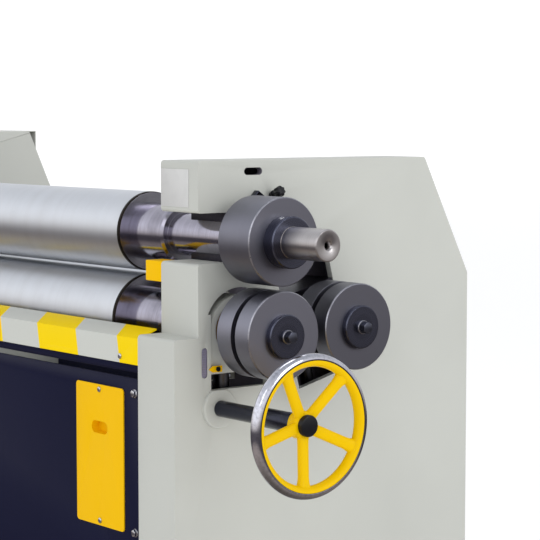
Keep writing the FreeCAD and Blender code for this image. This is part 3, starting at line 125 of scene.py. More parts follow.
class Paint:
    """One material in the making: a Principled shader and the nodes that feed it."""

    def __init__(self, name: str) -> None:
        """Start a material with an empty tree but for its shader and output."""
        self.material = bpy.data.materials.new(name)
        self.material.use_nodes = True
        self.tree = self.material.node_tree
        self.shader = self.tree.nodes["Principled BSDF"]
        self.where = self.node("ShaderNodeTexCoord", {}, {}).outputs["Object"]
        split = self.node("ShaderNodeSeparateXYZ", {}, {"Vector": self.where})
        self.x, self.y, self.z = (Value(self, socket) for socket in split.outputs)

    def node(self, kind: str, settings: dict, inputs: dict) -> bpy.types.Node:
        """Add a node.

        Args:
            kind: The node's type.
            settings: Its properties, which are set first.
            inputs: Values or links for its sockets, by name or number.

        Returns:
            The new node.
        """
        made = self.tree.nodes.new(kind)
        for key, setting in settings.items():
            setattr(made, key, setting)
        for key, value in inputs.items():
            self.feed(made.inputs[key], value)
        return made

    def feed(self, socket: bpy.types.NodeSocket, value: object) -> None:
        """Set or link one input socket."""
        if isinstance(value, Value):
            self.tree.links.new(value.socket, socket)
        elif isinstance(value, bpy.types.NodeSocket):
            self.tree.links.new(value, socket)
        elif socket.type == "RGBA":
            socket.default_value = (*value, 1.0)
        else:
            socket.default_value = value

    def set(self, **inputs: object) -> None:
        """Set or link inputs of the shader, with spaces written as underscores."""
        for key, value in inputs.items():
            self.feed(self.shader.inputs[key.replace("_", " ")], value)

    def noise(self, scale: float, detail: float = 2.0) -> Value:
        """Give smooth random values from about 0 to 1 in space.

        Args:
            scale: How many waves to a metre.
            detail: How many finer layers are added.

        Returns:
            The noise as a value.
        """
        inputs = {"Vector": self.where, "Scale": scale, "Detail": detail}
        return Value(self, self.node("ShaderNodeTexNoise", {}, inputs).outputs["Fac"])

    def lines(self, along: Value, scale: float, detail: float = 3.0) -> Value:
        """Give random lines across a direction, as turning marks are."""
        inputs = {"W": along * scale, "Scale": 1.0, "Detail": detail}
        node = self.node("ShaderNodeTexNoise", {"noise_dimensions": "1D"}, inputs)
        return Value(self, node.outputs["Fac"])

    def mix(self, share: Value, first: object, second: object) -> bpy.types.NodeSocket:
        """Blend two colours.

        Args:
            share: 0 for the first and 1 for the second.
            first: A colour or a colour socket.
            second: A colour or a colour socket.

        Returns:
            The blended colour's socket.
        """
        node = self.node("ShaderNodeMix", {"data_type": "RGBA"}, {0: share, 6: first, 7: second})
        return node.outputs[2]

    def bump(self, height: Value, depth: float) -> None:
        """Feed the shader's normal from a height that changes over the surface.

        Args:
            height: The height, from 0 to 1.
            depth: How many metres a height of 1 stands for.
        """
        inputs = {"Height": height, "Distance": depth}
        self.set(Normal=self.node("ShaderNodeBump", {}, inputs).outputs["Normal"])

    def spray(self, roughness: float, peel: float) -> None:
        """Give the surface the uneven gloss and the orange peel of a sprayed coat.

        Args:
            roughness: The mean roughness.
            peel: How deep the orange peel is, in metres.
        """
        gloss_waves, peel_waves, spread = 14.0, 420.0, 0.12
        self.set(Roughness=self.noise(gloss_waves, 4.0) * spread + (roughness - spread / 2))
        self.bump(self.noise(peel_waves), peel)


@dataclass(frozen=True)
class Enamel:
    """Sprayed machine enamel with a faint orange peel and slightly uneven gloss."""

    name: str
    colour: Colour
    roughness: float = 0.4
    peel: float = 0.00006
    coat: float = 0.0
    specular: float = 0.3
    cloud_waves: float = 3.0
    cloud_tint: float = 0.95

    def make(self) -> bpy.types.Material:
        """Make the material."""
        paint = Paint(self.name)
        cloud = paint.noise(self.cloud_waves, 3.0).step(0.35, 0.7)
        paint.set(Base_Color=paint.mix(cloud, self.colour, tint(self.colour, self.cloud_tint)))
        paint.set(Coat_Weight=self.coat, Specular_IOR_Level=self.specular)
        paint.spray(self.roughness, self.peel)
        return paint.material


@dataclass(frozen=True)
class TurnedSteel:
    """Steel turned or ground on a lathe, with fine rings round its axis."""

    name: str
    light: Colour
    dark: Colour
    centre: tuple[float, float]
    roughness: float = 0.3
    rings: float = 1500.0
    ring_depth: float = 0.000003
    stains: float = 0.2
    contrast: float = 0.5
    face_share: float = 1.3
    broader: float = 30.0
    stain_waves: float = 18.0
    fine_gloss: float = 0.10
    stain_gloss: float = 0.15

    def make(self) -> bpy.types.Material:
        """Make the material."""
        paint = Paint(self.name)
        across = paint.y - self.centre[0]
        above = paint.z - self.centre[1]
        radius = (across * across + above * above).root()
        along = paint.x + radius * self.face_share
        fine = paint.lines(along, self.rings)
        broad = paint.lines(along, self.rings / self.broader, 2.0)
        stain = paint.noise(self.stain_waves, 5.0).step(0.45, 0.75) * self.stains
        share = (fine * 0.5 + broad * 0.5).step(0.3, 0.75) * self.contrast + stain * (1.0 - self.contrast)
        paint.set(Base_Color=paint.mix(share, self.light, self.dark), Metallic=1.0)
        base = self.roughness - self.fine_gloss / 2
        paint.set(Roughness=fine * self.fine_gloss + stain * self.stain_gloss + base)
        paint.bump(fine * 0.7 + broad * 0.3, self.ring_depth)
        return paint.material


@dataclass(frozen=True)
class PlainMetal:
    """Plated, blackened or milled metal with a light grain."""

    name: str
    colour: Colour
    roughness: float = 0.3
    metallic: float = 1.0
    grain: float = 160.0
    grain_depth: float = 0.00002
    mottle: float = 0.25
    spread: float = 0.16

    def make(self) -> bpy.types.Material:
        """Make the material."""
        paint = Paint(self.name)
        grain = paint.noise(self.grain, 4.0)
        shade = tint(self.colour, 1.0 - self.mottle)
        paint.set(Base_Color=paint.mix(grain.step(0.4, 0.8), self.colour, shade), Metallic=self.metallic)
        paint.set(Roughness=grain * self.spread + (self.roughness - self.spread / 2))
        paint.bump(grain, self.grain_depth)
        return paint.material


@dataclass(frozen=True)
class RuledSteel:
    """The scale strip's bare steel with fine cross lines and no figures."""

    name: str = "ruled_steel"
    colour: Colour = linear(184, 181, 208)
    pitch: float = 5.0
    width: float = 0.1
    blur: float = 0.06
    strength: float = 0.6
    mark_tint: float = 0.45

    def make(self) -> bpy.types.Material:
        """Make the material."""
        paint = Paint(self.name)
        saw = (paint.z * (1 / (self.pitch * MM))).apply("FRACT")
        mark = saw.step(0.0, self.blur) - saw.step(self.width, self.width + self.blur)
        steel = paint.mix(mark * self.strength, self.colour, tint(self.colour, self.mark_tint))
        paint.set(Base_Color=steel, Metallic=0.6, Roughness=0.4)
        return paint.material


@dataclass(frozen=True)
class StripedEnamel:
    """The trim's slanted yellow and cream bands."""

    name: str = "trim_bands"
    yellow: Colour = linear(248, 212, 0)
    cream: Colour = linear(200, 201, 194)
    first_edge: Point = (-232.9, -120.0, -187.5)
    pitch: float = 310.0
    band: float = 155.0
    drop_slant: float = 0.18
    depth_slant: float = 0.66
    blur: float = 0.004
    cloud_waves: float = 4.0
    cloud_share: float = 0.3
    cloud_tint: float = 0.9
    roughness: float = 0.42
    peel: float = 0.00005
    specular: float = 0.06

    def make(self) -> bpy.types.Material:
        """Make the material."""
        paint = Paint(self.name)
        edge = spot(*self.first_edge)
        forward = paint.y * -1.0 + edge.y
        below = paint.z * -1.0 + edge.z
        along = paint.x * -1.0 + edge.x + below * self.drop_slant + forward * self.depth_slant
        saw = (along * (1 / (self.pitch * MM))).apply("FRACT")
        width = self.band / self.pitch
        cream = saw.step(0.0, self.blur) - saw.step(width, width + self.blur)
        cloud = paint.noise(self.cloud_waves, 3.0).step(0.35, 0.7) * self.cloud_share
        yellow = paint.mix(cloud, self.yellow, tint(self.yellow, self.cloud_tint))
        paint.set(Base_Color=paint.mix(cream, yellow, self.cream), Specular_IOR_Level=self.specular)
        paint.spray(self.roughness, self.peel)
        return paint.material


class Slot(Enum):
    """The record's material slots."""

    BODY = "body_paint"
    NAVY = "navy_paint"
    YELLOW = "yellow_paint"
    TRIM = "trim_paint"
    ROLL = "roll_steel"
    JOURNAL = "journal_steel"
    SECTION = "section_steel"
    BLACK = "black_steel"
    WHEEL = "wheel_paint"
    BRIGHT = "bright_steel"
    MILLED = "block_steel"
    BRONZE = "bronze"
    GEAR = "gear_steel"
    MOTOR = "motor_paint"
    SIGN = "sign_plate"
    RED = "red_plastic"
    GREEN = "green_plastic"
    KNOB = "black_plastic"


ORIGIN = Vector((1.028, -0.2385, 0.950))


def spot(x: float, y: float, z: float) -> Vector:
    """Give a place in the frame from millimetres off the top roll's axis at the right housing's face."""
    return ORIGIN + Vector((x, y, z)) * MM


class Body(Enum):
    """The frame's bodies that replacement pieces ride on."""

    FRAME = "frame"
    SWING = "swing"
    TOP = "top_roll"
    PINCH_SLIDE = "pinch_slide"
    PINCH = "pinch_roll"
    REAR_SLIDE = "rear_slide"
    REAR = "rear_roll"
    WHEEL = "handwheel"
    KNOB = "lock_knob"
    STOP = "stop_button"
    FORWARD = "forward_button"
    REVERSE = "reverse_button"
    SWITCH = "rear_switch"


class Shape:
    """A mesh in the making, with sizes in millimetres from the top roll's axis."""

    def __init__(self) -> None:
        """Start with an empty mesh."""
        self.mesh = bmesh.new()

    def ring(self, line: "Line", along: float, radius: float, count: int) -> list:
        """Add the corners of one ring round a line, or one corner when it has no radius."""
        if radius <= 0:
            return [self.mesh.verts.new(line.at(along, 0.0, 0.0))]
        return [self.mesh.verts.new(line.at(along, radius, 2 * math.pi * n / count)) for n in range(count)]

    def join(self, first: list, second: list, paint: int = 0) -> None:
        """Skin the band between two loops of corners.

        Args:
            first: One loop, or a single corner.
            second: The next loop, as long as the first, or a single corner.
            paint: The number of the finish on this band.
        """
        count = max(len(first), len(second))
        for number in range(count):
            after = (number + 1) % count
            corners = [first[number % len(first)], first[after % len(first)]]
            corners += [second[after % len(second)], second[number % len(second)]]
            unique = list(dict.fromkeys(corners))
            if len(unique) > 2:
                self.mesh.faces.new(unique).material_index = paint

    def turn(self, line: "Line", points: list, closed: bool = False, count: int = 128) -> "Shape":
        """Revolve a profile about a line.

        Args:
            line: The line.
            points: Distances along it, each with a radius and the finish of the next band if it isn't 0.
            closed: Whether the last point joins the first.
            count: Corners to a ring.

        Returns:
            The shape itself.
        """
        rings = [self.ring(line, point[0], point[1], count) for point in points]
        paints = [point[2] if len(point) > 2 else 0 for point in points]
        for first, second, paint in zip(rings, rings[1:], paints):
            self.join(first, second, paint)
        if closed:
            self.join(rings[-1], rings[0], paints[-1])
        return self

    def loops(self, rows: list) -> "Shape":
        """Skin loops of places one after another and close both ends."""
        made = [[self.mesh.verts.new(place) for place in row] for row in rows]
        for first, second in zip(made, made[1:]):
            self.join(first, second)
        for end in (made[0], made[-1]):
            self.mesh.faces.new(end)
        return self

    def prism(self, outline: list, start: float, end: float, axis: str) -> "Shape":
        """Extrude a flat outline along an axis.

        Args:
            outline: Corners in the two other axes, in the order x, y, z.
            start: Where the prism starts along the axis.
            end: Where it ends.
            axis: The axis it is extruded along, x or y.

        Returns:
            The shape itself.
        """
        place = {"x": lambda a, b, level: spot(level, a, b), "y": lambda a, b, level: spot(a, level, b)}[axis]
        return self.loops([[place(a, b, level) for a, b in outline] for level in (start, end)])

    def hexagon(self, line: "Line", flats: float, start: float, end: float, turn: float) -> "Shape":
        """Add a six-sided head whose corners are turned off at its free end.

        Args:
            line: Its axis.
            flats: The width across its flats.
            start: Where it starts along the axis.
            end: Its free end.
            turn: How far it is turned round the axis, in radians.

        Returns:
            The shape itself.
        """
        half, count, slope, face = flats / 2, 72, 1.73, 0.95
        levels = [start, *(end - share * half for share in (0.12, 0.09, 0.06, 0.03, 0.0))]
        rows = []
        for level in levels:
            limit = face * half + (end - level) * slope
            row = []
            for number in range(count):
                angle = 2 * math.pi * number / count
                corner = half / math.cos((angle + math.pi / 6) % (math.pi / 3) - math.pi / 6)
                row.append(line.at(level, min(corner, limit), angle + turn))
            rows.append(row)
        return self.loops(rows)

    def copy(self, node: str) -> "Shape":
        """Take over the welded mesh of a carried-over node."""
        self.mesh.from_mesh(frame["nodes"][node].data)
        bmesh.ops.remove_doubles(self.mesh, verts=self.mesh.verts, dist=WELD * MM)
        for face in self.mesh.faces:
            face.material_index = 0
        return self

    def shade(self, low: Point, high: Point) -> None:
        """Give the faces that lie wholly inside a box the second finish, the painted shade of insides and
        slots.
        """
        first, last = spot(*low), spot(*high)
        for face in self.mesh.faces:
            if all(first[k] <= corner.co[k] <= last[k] for corner in face.verts for k in range(3)):
                face.material_index = 1

    def flatten(self) -> "Shape":
        """Merge neighbouring faces that lie in one plane."""
        bmesh.ops.dissolve_limit(self.mesh, angle_limit=FLAT, verts=self.mesh.verts, edges=self.mesh.edges)
        return self

    def build(self, node: str, form: str, body: Body, slot: Slot, materials: list, edge: float,
              steps: int = 2, sharp: float = 32.0, stands: bool = True) -> None:
        """Turn the shape into a piece of the machine with rounded edges.

        Args:
            node: The carried-over node it shows, which starts its name.
            form: The rest of its name.
            body: What it moves with.
            slot: The record's slot that its finish comes from; not used here.
            materials: Its finishes, by number.
            edge: How wide its edges are rounded, in millimetres.
            steps: How many faces round an edge.
            sharp: The least angle, in degrees, that counts as an edge.
            stands: Whether it stands for the node or is added to it.
        """
        name = node + "_" + form
        bmesh.ops.recalc_face_normals(self.mesh, faces=self.mesh.faces)
        mesh = bpy.data.meshes.new(name)
        self.mesh.to_mesh(mesh)
        self.mesh.free()
        mesh.shade_smooth()
        for material in materials:
            mesh.materials.append(material)
        piece = bpy.data.objects.new(name, mesh)
        bpy.context.scene.collection.objects.link(piece)
        if edge:
            bevel = piece.modifiers.new("edges", "BEVEL")
            bevel.width = edge * MM
            bevel.segments = steps
            bevel.limit_method = "ANGLE"
            bevel.angle_limit = math.radians(sharp)
            bevel.harden_normals = True
            bevel.use_clamp_overlap = True
        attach(piece, body.value)
        if stands:
            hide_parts(node)
        log.info("built %s", name)


@dataclass(frozen=True)
class Line:
    """A line that pieces are turned about, in millimetres from the top roll's axis."""

    start: Point
    way: Point = (1.0, 0.0, 0.0)

    def at(self, along: float, radius: float, angle: float) -> Vector:
        """Give the place at a distance along the line, off it and round it."""
        way = Vector(self.way).normalized()
        side = Vector((0.0, 0.0, 1.0)).cross(way).normalized()
        up = way.cross(side)
        out = side * math.sin(angle) + up * math.cos(angle)
        return spot(*(Vector(self.start) + way * along + out * radius))

    def centre(self) -> tuple[float, float]:
        """Give the line's place across the frame, in metres."""
        place = spot(*self.start)
        return place.y, place.z


TOP_LINE = Line((0.0, 0.0, 0.0))
PINCH_LINE = Line((0.0, 0.0, -186.0))
REAR_LINE = Line((0.0, 195.0, -180.0))
WHEEL_LINE = Line((0.0, -54.0, -340.0))
FRONT = (0.0, -1.0, 0.0)
BOX_FACE = -210.0


@dataclass(frozen=True)
class Roll:
    """One of the three long rolls: a satin barrel on dark, glossy necks."""

    node: str
    body: Body
    line: Line
    radius: float
    neck: float
    journal: float
    tail: tuple
    stub: tuple
    shorter: float = 0.0
    left: float = -1576.0
    right: float = -306.0
    neck_left: float = -1624.0
    neck_right: float = -186.0
    neck_break: float = 5.0
    shoulder: float = 9.0
    rounding: float = 2.0

    def build(self, palette: "Palette") -> None:
        """Build the barrel and the shaft through it."""
        neck = palette.neck(self.line)
        start, end = self.left + self.shorter, self.right - self.shorter
        rim, low, foot = self.radius, self.radius - self.rounding, self.neck - 1
        barrel = [(start, foot, 2), (start, low, 1), (start + self.rounding, rim, 1)]
        barrel += [(start + self.shoulder, rim), (end - self.shoulder, rim, 1)]
        barrel += [(end - self.rounding, rim, 1), (end, low, 2), (end, foot, 2)]
        shape = Shape().turn(self.line, barrel, True)
        finishes = [palette.barrel(self), palette.seam, neck]
        shape.build(self.node, "barrel", self.body, Slot.ROLL, finishes, 0.6)
        right, cut = self.neck_right, self.neck_break
        shaft = [*self.tail, (self.neck_left, self.journal), (self.neck_left, self.neck)]
        shaft += [(right - cut, self.neck), (right, self.neck - cut), (right, self.journal)]
        shape = Shape().turn(self.line, [*shaft, *self.stub])
        # The third finish darkens the bottom of the centre hole as painted shade.
        finishes = [neck, palette.shaft_end(self.line), palette.seam]
        shape.build(self.node, "shaft", self.body, Slot.JOURNAL, finishes, 0.8)


def oblong(across: float, up: float, half: float, tall: float) -> list:
    """Give the corners of an upright oblong from its middle and its half sizes."""
    left, right, low, high = across - half, across + half, up - tall, up + tall
    return [(left, low), (right, low), (right, high), (left, high)]


def rounded(value: float, power: float) -> float:
    """Raise a number's size to a power and keep its sign, which squares an oval's corners."""
    return math.copysign(abs(value) ** power, value)


def stepped(*steps: tuple) -> tuple:
    """Give the corners of a stepped shaft.

    Args:
        steps: For each step, where it starts and ends along the shaft, and its radius.

    Returns:
        Two corners for each step.
    """
    return tuple(corner for start, end, radius in steps for corner in ((start, radius), (end, radius)))


LOWER_SEAT = ((40.0, 31.6), (140.0, 31.6), (140.0, 0.0))
RELIEF = ((171.0, 32.0, 1), (171.0, 30.6, 1), (173.0, 30.6, 1))
BARE_END = ((173.0, 31.6, 1), (275.0, 31.6, 1), (277.0, 29.6, 1))
# The drilled bottom of the centre hole takes the dark seam finish as painted shade.
CENTRE_HOLE = ((277.0, 10.6, 1), (276.4, 9.6, 1), (268.6, 5.0, 2), (258.0, 5.0, 2), (256.0, 0.0))
ROLLS = (
    Roll("top_roll", Body.TOP, TOP_LINE, 85.0, 61.0, 45.0,
         ((-1776.0, 0.0), *stepped((-1776.0, -1748.0, 32.0), (-1748.0, -1704.0, 36.0)), (-1704.0, 45.0)),
         ((44.0, 45.0), (44.0, 32.0), *RELIEF, *BARE_END, *CENTRE_HOLE)),
    Roll("pinch_roll", Body.PINCH, PINCH_LINE, 95.0, 66.0, 50.0,
         ((-1966.0, 0.0), *stepped((-1966.0, -1746.0, 35.0), (-1746.0, -1706.0, 42.0)), (-1706.0, 50.0)),
         ((40.0, 50.0), *LOWER_SEAT), 5.0),
    Roll("rear_roll", Body.REAR, REAR_LINE, 85.0, 60.0, 45.0,
         ((-1706.0, 0.0), (-1706.0, 45.0)), ((40.0, 45.0), *LOWER_SEAT)),
)


@dataclass(frozen=True)
class SectionRoll:
    """A forming roll on a shaft end outside the right housing."""

    node: str
    body: Body
    line: Line
    radius: float
    start: float
    seat: float
    # How far the ring's grey is darkened, painted shade that differs from ring to ring.
    shade: float
    grooved: bool = True
    end: float = 143.0
    chamfer: float = 2.0
    groove: tuple = (86.5, 100.5, 51.0)

    def build(self, palette: "Palette") -> None:
        """Build the bored ring with its groove and its chamfered corners."""
        low, high = self.start + self.chamfer, self.end - self.chamfer
        points = [(self.start, self.seat), (self.start, self.radius - self.chamfer), (low, self.radius)]
        if self.grooved:
            first, last, depth = self.groove
            points += [(first, self.radius), (first, depth), (last, depth), (last, self.radius)]
        # The chamfer at the ring's outer end takes a lighter finish, a painted highlight.
        points += [(high, self.radius, 1), (self.end, self.radius - self.chamfer), (self.end, self.seat)]
        shape = Shape().turn(self.line, points, True)
        finishes = [palette.section(self), palette.chamfer]
        shape.build(self.node, "ring", self.body, Slot.SECTION, finishes, 0.5)


# Each ring's darkening factor paints in the shade that ring shows, on one and the same grey.
SECTION_ROLLS = (
    SectionRoll("top_section_roll", Body.TOP, TOP_LINE, 88.3, 44.0, 32.05, 0.74, False),
    SectionRoll("front_section_roll", Body.PINCH, PINCH_LINE, 89.3, 40.0, 31.65, 0.9),
    SectionRoll("rear_section_roll", Body.REAR, REAR_LINE, 88.1, 40.0, 31.65, 0.7),
)


@dataclass(frozen=True)
class EndFastening:
    """The washer and the flanged hexagon bolt that hold a lower section roll."""

    side: str
    body: Body
    line: Line
    turn: float
    inner: float = 143.0
    face: float = 155.0
    radius: float = 44.0
    bore: float = 7.05
    chamfer: float = 2.0
    shank: tuple = ((110.0, 0.0), (110.0, 6.0), (111.0, 7.0))
    flange: float = 14.0
    flange_end: float = 158.0
    flats: float = 21.0
    end: float = 172.0

    def build(self, palette: "Palette") -> None:
        """Build the washer and the bolt."""
        edge = self.radius - self.chamfer
        ring = [(self.inner, self.bore), (self.inner, self.radius), (self.face - self.chamfer, self.radius)]
        washer = Shape().turn(self.line, [*ring, (self.face, edge), (self.face, self.bore)], True)
        finish = [palette.washer(self.line)]
        washer.build(self.side + "_end_washer", "disc", self.body, Slot.BLACK, finish, 0.4)
        top, slope, thread = self.flange_end, 1.2, self.shank[-1][1]
        points = [*self.shank, (self.face, thread), (self.face, self.flange, 1), (top - 1, self.flange, 1)]
        bolt = Shape().turn(self.line, [*points, (top, self.flange - slope), (top, 0.0)])
        bolt.hexagon(self.line, self.flats, top - 0.5, self.end, self.turn)
        # The flange's rim and its chamfer take the lighter chamfer finish, a painted highlight.
        finishes = [palette.bolt, palette.chamfer]
        bolt.build(self.side + "_end_bolt", "head", self.body, Slot.BLACK, finishes, 0.3)


ENDS = (
    EndFastening("front", Body.PINCH, PINCH_LINE, 0.2),
    EndFastening("rear", Body.REAR, REAR_LINE, 0.45),
)


@dataclass(frozen=True)
class Collar:
    """The collar on the top shaft, with two set screws."""

    start: float = 143.0
    end: float = 171.0
    radius: float = 51.5
    bore: float = 32.05
    chamfer: float = 2.0
    screws: tuple = (-0.35, 1.75)
    depth: float = 46.0
    socket: tuple = ((0.0, 0.0), (0.0, 6.0), (6.0, 6.0), (6.4, 5.2), (6.4, 3.4), (3.0, 3.4), (3.0, 0.0))

    def build(self, palette: "Palette") -> None:
        """Build the collar and its screws."""
        points = [(self.start, self.bore), (self.start, self.radius), (self.end - self.chamfer, self.radius)]
        points += [(self.end, self.radius - self.chamfer), (self.end, self.bore)]
        ring = Shape().turn(TOP_LINE, points, True)
        ring.build("top_collar", "ring", Body.TOP, Slot.BLACK, [palette.washer(TOP_LINE)], 0.5)
        middle, finish = (self.start + self.end) / 2, [palette.plain[Slot.BRIGHT]]
        for number, angle in enumerate(self.screws, 1):
            way = (0.0, math.sin(angle), math.cos(angle))
            line = Line((middle, way[1] * self.depth, way[2] * self.depth), way)
            screw = Shape().turn(line, self.socket, count=32)
            screw.build("top_collar", "screw_%d" % number, Body.TOP, Slot.BLACK, finish, 0.0, stands=False)


@dataclass(frozen=True)
class Handwheel:
    """The dished handwheel, chrome outside and yellow inside, with its cap."""

    plane: float = 288.0
    rim: float = 127.0
    tube: float = 13.0
    hub: tuple = (251.0, 277.0, 28.0)
    cap: tuple = (277.0, 289.0, 21.0)
    count: int = 5
    first: float = -29.0
    facets: int = 72
    seam_half: float = 0.8
    seam_depth: float = 0.5
    band_half: float = 0.7
    band_shift: float = 0.3

    def build(self, palette: "Palette") -> None:
        """Build the casting and the cap."""
        self.casting(palette)
        self.button(palette)

    def casting(self, palette: "Palette") -> None:
        """Build the rim, the spokes and the hub in one casting."""
        wheel = Shape()
        points = []
        for number in range(self.facets):
            angle = 2 * math.pi * (number + 0.5) / self.facets
            out = self.tube * math.sin(angle)
            radius = self.tube - (self.seam_depth if abs(out) < self.seam_half else 0.0)
            paint = 2 if abs(out + self.band_shift) < self.band_half else (1 if out > 0 else 0)
            points.append((self.plane + radius * math.cos(angle), self.rim + radius * math.sin(angle), paint))
        wheel.turn(WHEEL_LINE, points, True, 2 * self.facets)
        for number in range(self.count):
            self.spoke(wheel, math.radians(self.first) + 2 * math.pi * number / self.count)
        start, end, radius = self.hub
        hub = [(start, 0.0), (start, radius - 3), (start + 3, radius)]
        hub += [(end - 4, radius - 1), (end, radius - 5), (end, 0.0)]
        wheel.turn(WHEEL_LINE, hub)
        finishes = [palette.plain[Slot.WHEEL], palette.chrome, palette.seam]
        wheel.build("handwheel", "casting", Body.WHEEL, Slot.WHEEL, finishes, 0.0)

    def spoke(self, wheel: Shape, turn: float) -> None:
        """Add one sloping oval spoke that flares into the rim and the hub."""
        inner, outer, wide, deep, steps, corners = 14.0, self.rim - 6.0, 11.6, 8.0, 14, 32
        rim_flare, hub_flare, flare_share, squareness = 6.0, 2.0, 0.22, 0.8
        root = (self.hub[0] + self.hub[1]) / 2 + 2
        rows = []
        for step in range(steps + 1):
            share = step / steps
            reach = inner + (outer - inner) * share
            near_rim = max(0.0, (share - 1.0 + flare_share) / flare_share)
            near_hub = max(0.0, (flare_share - share) / flare_share)
            flare = near_rim ** 2 * rim_flare + near_hub ** 2 * hub_flare
            depth = root + (self.plane - root) * (reach / self.rim)
            row = []
            for corner in range(corners):
                angle = 2 * math.pi * corner / corners
                side = (wide + flare) * rounded(math.cos(angle), squareness)
                fore = (deep + flare * 0.45) * rounded(math.sin(angle), squareness)
                away = math.hypot(reach, side)
                row.append(WHEEL_LINE.at(depth + fore, away, turn + math.atan2(side, reach)))
            rows.append(row)
        wheel.loops(rows)

    def button(self, palette: "Palette") -> None:
        """Build the cap on the hub."""
        start, end, radius = self.cap
        dome = [(start, 0.0), (start, radius), (end - 3, radius)]
        dome += [(end - 1, radius - 1.2), (end, radius - 4), (end, 0.0)]
        cap = Shape().turn(WHEEL_LINE, dome)
        cap.build("handwheel_cap", "button", Body.WHEEL, Slot.KNOB, [palette.plain[Slot.KNOB]], 0.5)


@dataclass(frozen=True)
class Plate:
    """A rounded copy of a carried-over node."""

    node: str
    slot: Slot
    edge: float
    body: Body = Body.FRAME
    # Boxes whose faces get the painted shade of recesses instead of the node's own finish.
    dark: tuple = ()
    steps: int = 3

    def build(self, palette: "Palette") -> None:
        """Weld the node's mesh, merge its flat faces, paint shade onto its insides and slot walls and round
        its edges.
        """
        finish = palette.dark_block_finish if self.slot is Slot.MILLED else palette.plain[self.slot]
        shape = Shape().copy(self.node).flatten()
        for low, high in self.dark:
            shape.shade(low, high)
        shape.build(self.node, "form", self.body, self.slot, [finish, palette.inside], self.edge, self.steps)


@dataclass(frozen=True)
class PanScrew:
    """A round-headed screw with a socket, driven into a sheet along Y."""

    x: float
    z: float
    face: float
    shank: tuple = ((-8.0, 0.0), (-8.0, 3.0), (0.0, 3.0))
    head: tuple = ((0.0, 6.0), (1.2, 6.0), (2.3, 5.0), (3.0, 3.2))
    # The socket's floor takes the second finish, painted shade.
    socket: tuple = ((3.0, 2.3), (1.2, 2.3, 1), (1.2, 0.0))

    def add(self, shape: Shape) -> None:
        """Add the screw to a shape."""
        line = Line((self.x, self.face, self.z), FRONT)
        shape.turn(line, [*self.shank, *self.head, *self.socket], count=40)


@dataclass(frozen=True)
class ApronBolt:
    """A hexagon bolt with its washer on the apron."""

    x: float
    z: float
    turn: float
    face: float = -145.0
    washer: tuple = ((0.0, 0.0), (0.0, 9.0), (1.6, 9.0), (2.0, 8.6), (2.0, 0.0))
    flats: float = 13.0
    end: float = 7.5

    def add(self, shape: Shape) -> None:
        """Add the bolt and the washer to a shape."""
        line = Line((self.x, self.face, self.z), FRONT)
        shape.turn(line, self.washer, count=48)
        shape.hexagon(line, self.flats, self.washer[-1][0], self.end, self.turn)


@dataclass(frozen=True)
class Hardware:
    """The visible screws and bolts of the sheets between the housings."""

    screws: tuple = tuple(PanScrew(*place) for place in (
        (-291.0, -326.5, -148.0), (-291.0, -605.5, -148.0),
        (-190.5, -244.8, -163.0), (-1571.5, -244.8, -163.0)))
    bolts: tuple = tuple(ApronBolt(*place) for place in (
        (-163.0, -321.0, 0.3), (-163.0, -611.0, 0.7), (-1599.0, -321.0, 0.1), (-1599.0, -611.0, 0.5)))

    def build(self, palette: "Palette") -> None:
        """Build both sets, each as one piece."""
        for node, members in (("panel_screws", self.screws), ("apron_bolts", self.bolts)):
            shape = Shape()
            for member in members:
                member.add(shape)
            # The second finish is painted shade on the floors of the screw sockets.
            finishes = [palette.plain[Slot.BRIGHT], palette.inside]
            shape.build(node, "set", Body.FRAME, Slot.BRIGHT, finishes, 0.15)


@dataclass(frozen=True)
class LockKnob:
    """The lock screw with its lobed hand knob."""

    line: Line = Line((0.0, 81.0, 84.0), (math.cos(math.radians(18)), 0.0, math.sin(math.radians(18))))
    lobes: int = 7
    corners: int = 84
    thread: tuple = ((-18.0, 0.0), (-18.0, 5.0), (-17.0, 6.0), (8.0, 6.0))
    flange: tuple = ((8.0, 8.5), (11.0, 8.5), (11.0, 6.0), (23.0, 6.0), (23.0, 0.0))
    head: tuple = ((22.0, 5.0, 0.0), (22.0, 8.6, 0.3), (23.2, 10.0, 1.0), (26.0, 10.4, 1.1),
                   (33.0, 10.4, 1.1), (36.0, 9.6, 0.9), (37.5, 7.6, 0.4), (38.0, 4.0, 0.0))

    def build(self, palette: "Palette") -> None:
        """Build the stem with its flange and the lobed head."""
        knob = Shape().turn(self.line, [*self.thread, *self.flange], count=48)
        turns = [2 * math.pi * number / self.corners for number in range(self.corners)]
        rows = []
        for along, radius, wave in self.head:
            rows.append([self.line.at(along, radius + wave * math.cos(self.lobes * a), a) for a in turns])
        knob.loops(rows)
        knob.build("lock_knob", "grip", Body.KNOB, Slot.KNOB, [palette.plain[Slot.KNOB]], 0.3, sharp=40.0)


@dataclass(frozen=True)
class PushButton:
    """A round push button on the control box."""

    node: str
    body: Body
    slot: Slot
    x: float
    z: float
    radius: float
    dome: float
    stem: tuple = ((-20.0, 0.0), (-20.0, 10.0), (6.0, 10.0))
    top: float = 13.2

    def build(self, palette: "Palette") -> None:
        """Build the stem and the rounded cap."""
        rim, top = self.radius, self.top
        side = [(6.0, rim - 0.6), (6.6, rim), (11.5, rim), (12.6, rim - 0.8), (top, rim - 2.0)]
        face = [(top + self.dome * 0.6, rim * 0.6), (top + self.dome, 0.0)]
        cap = Shape().turn(Line((self.x, BOX_FACE, self.z), FRONT), [*self.stem, *side, *face], count=64)
        cap.build(self.node, "cap", self.body, self.slot, [palette.plain[self.slot]], 0.2)


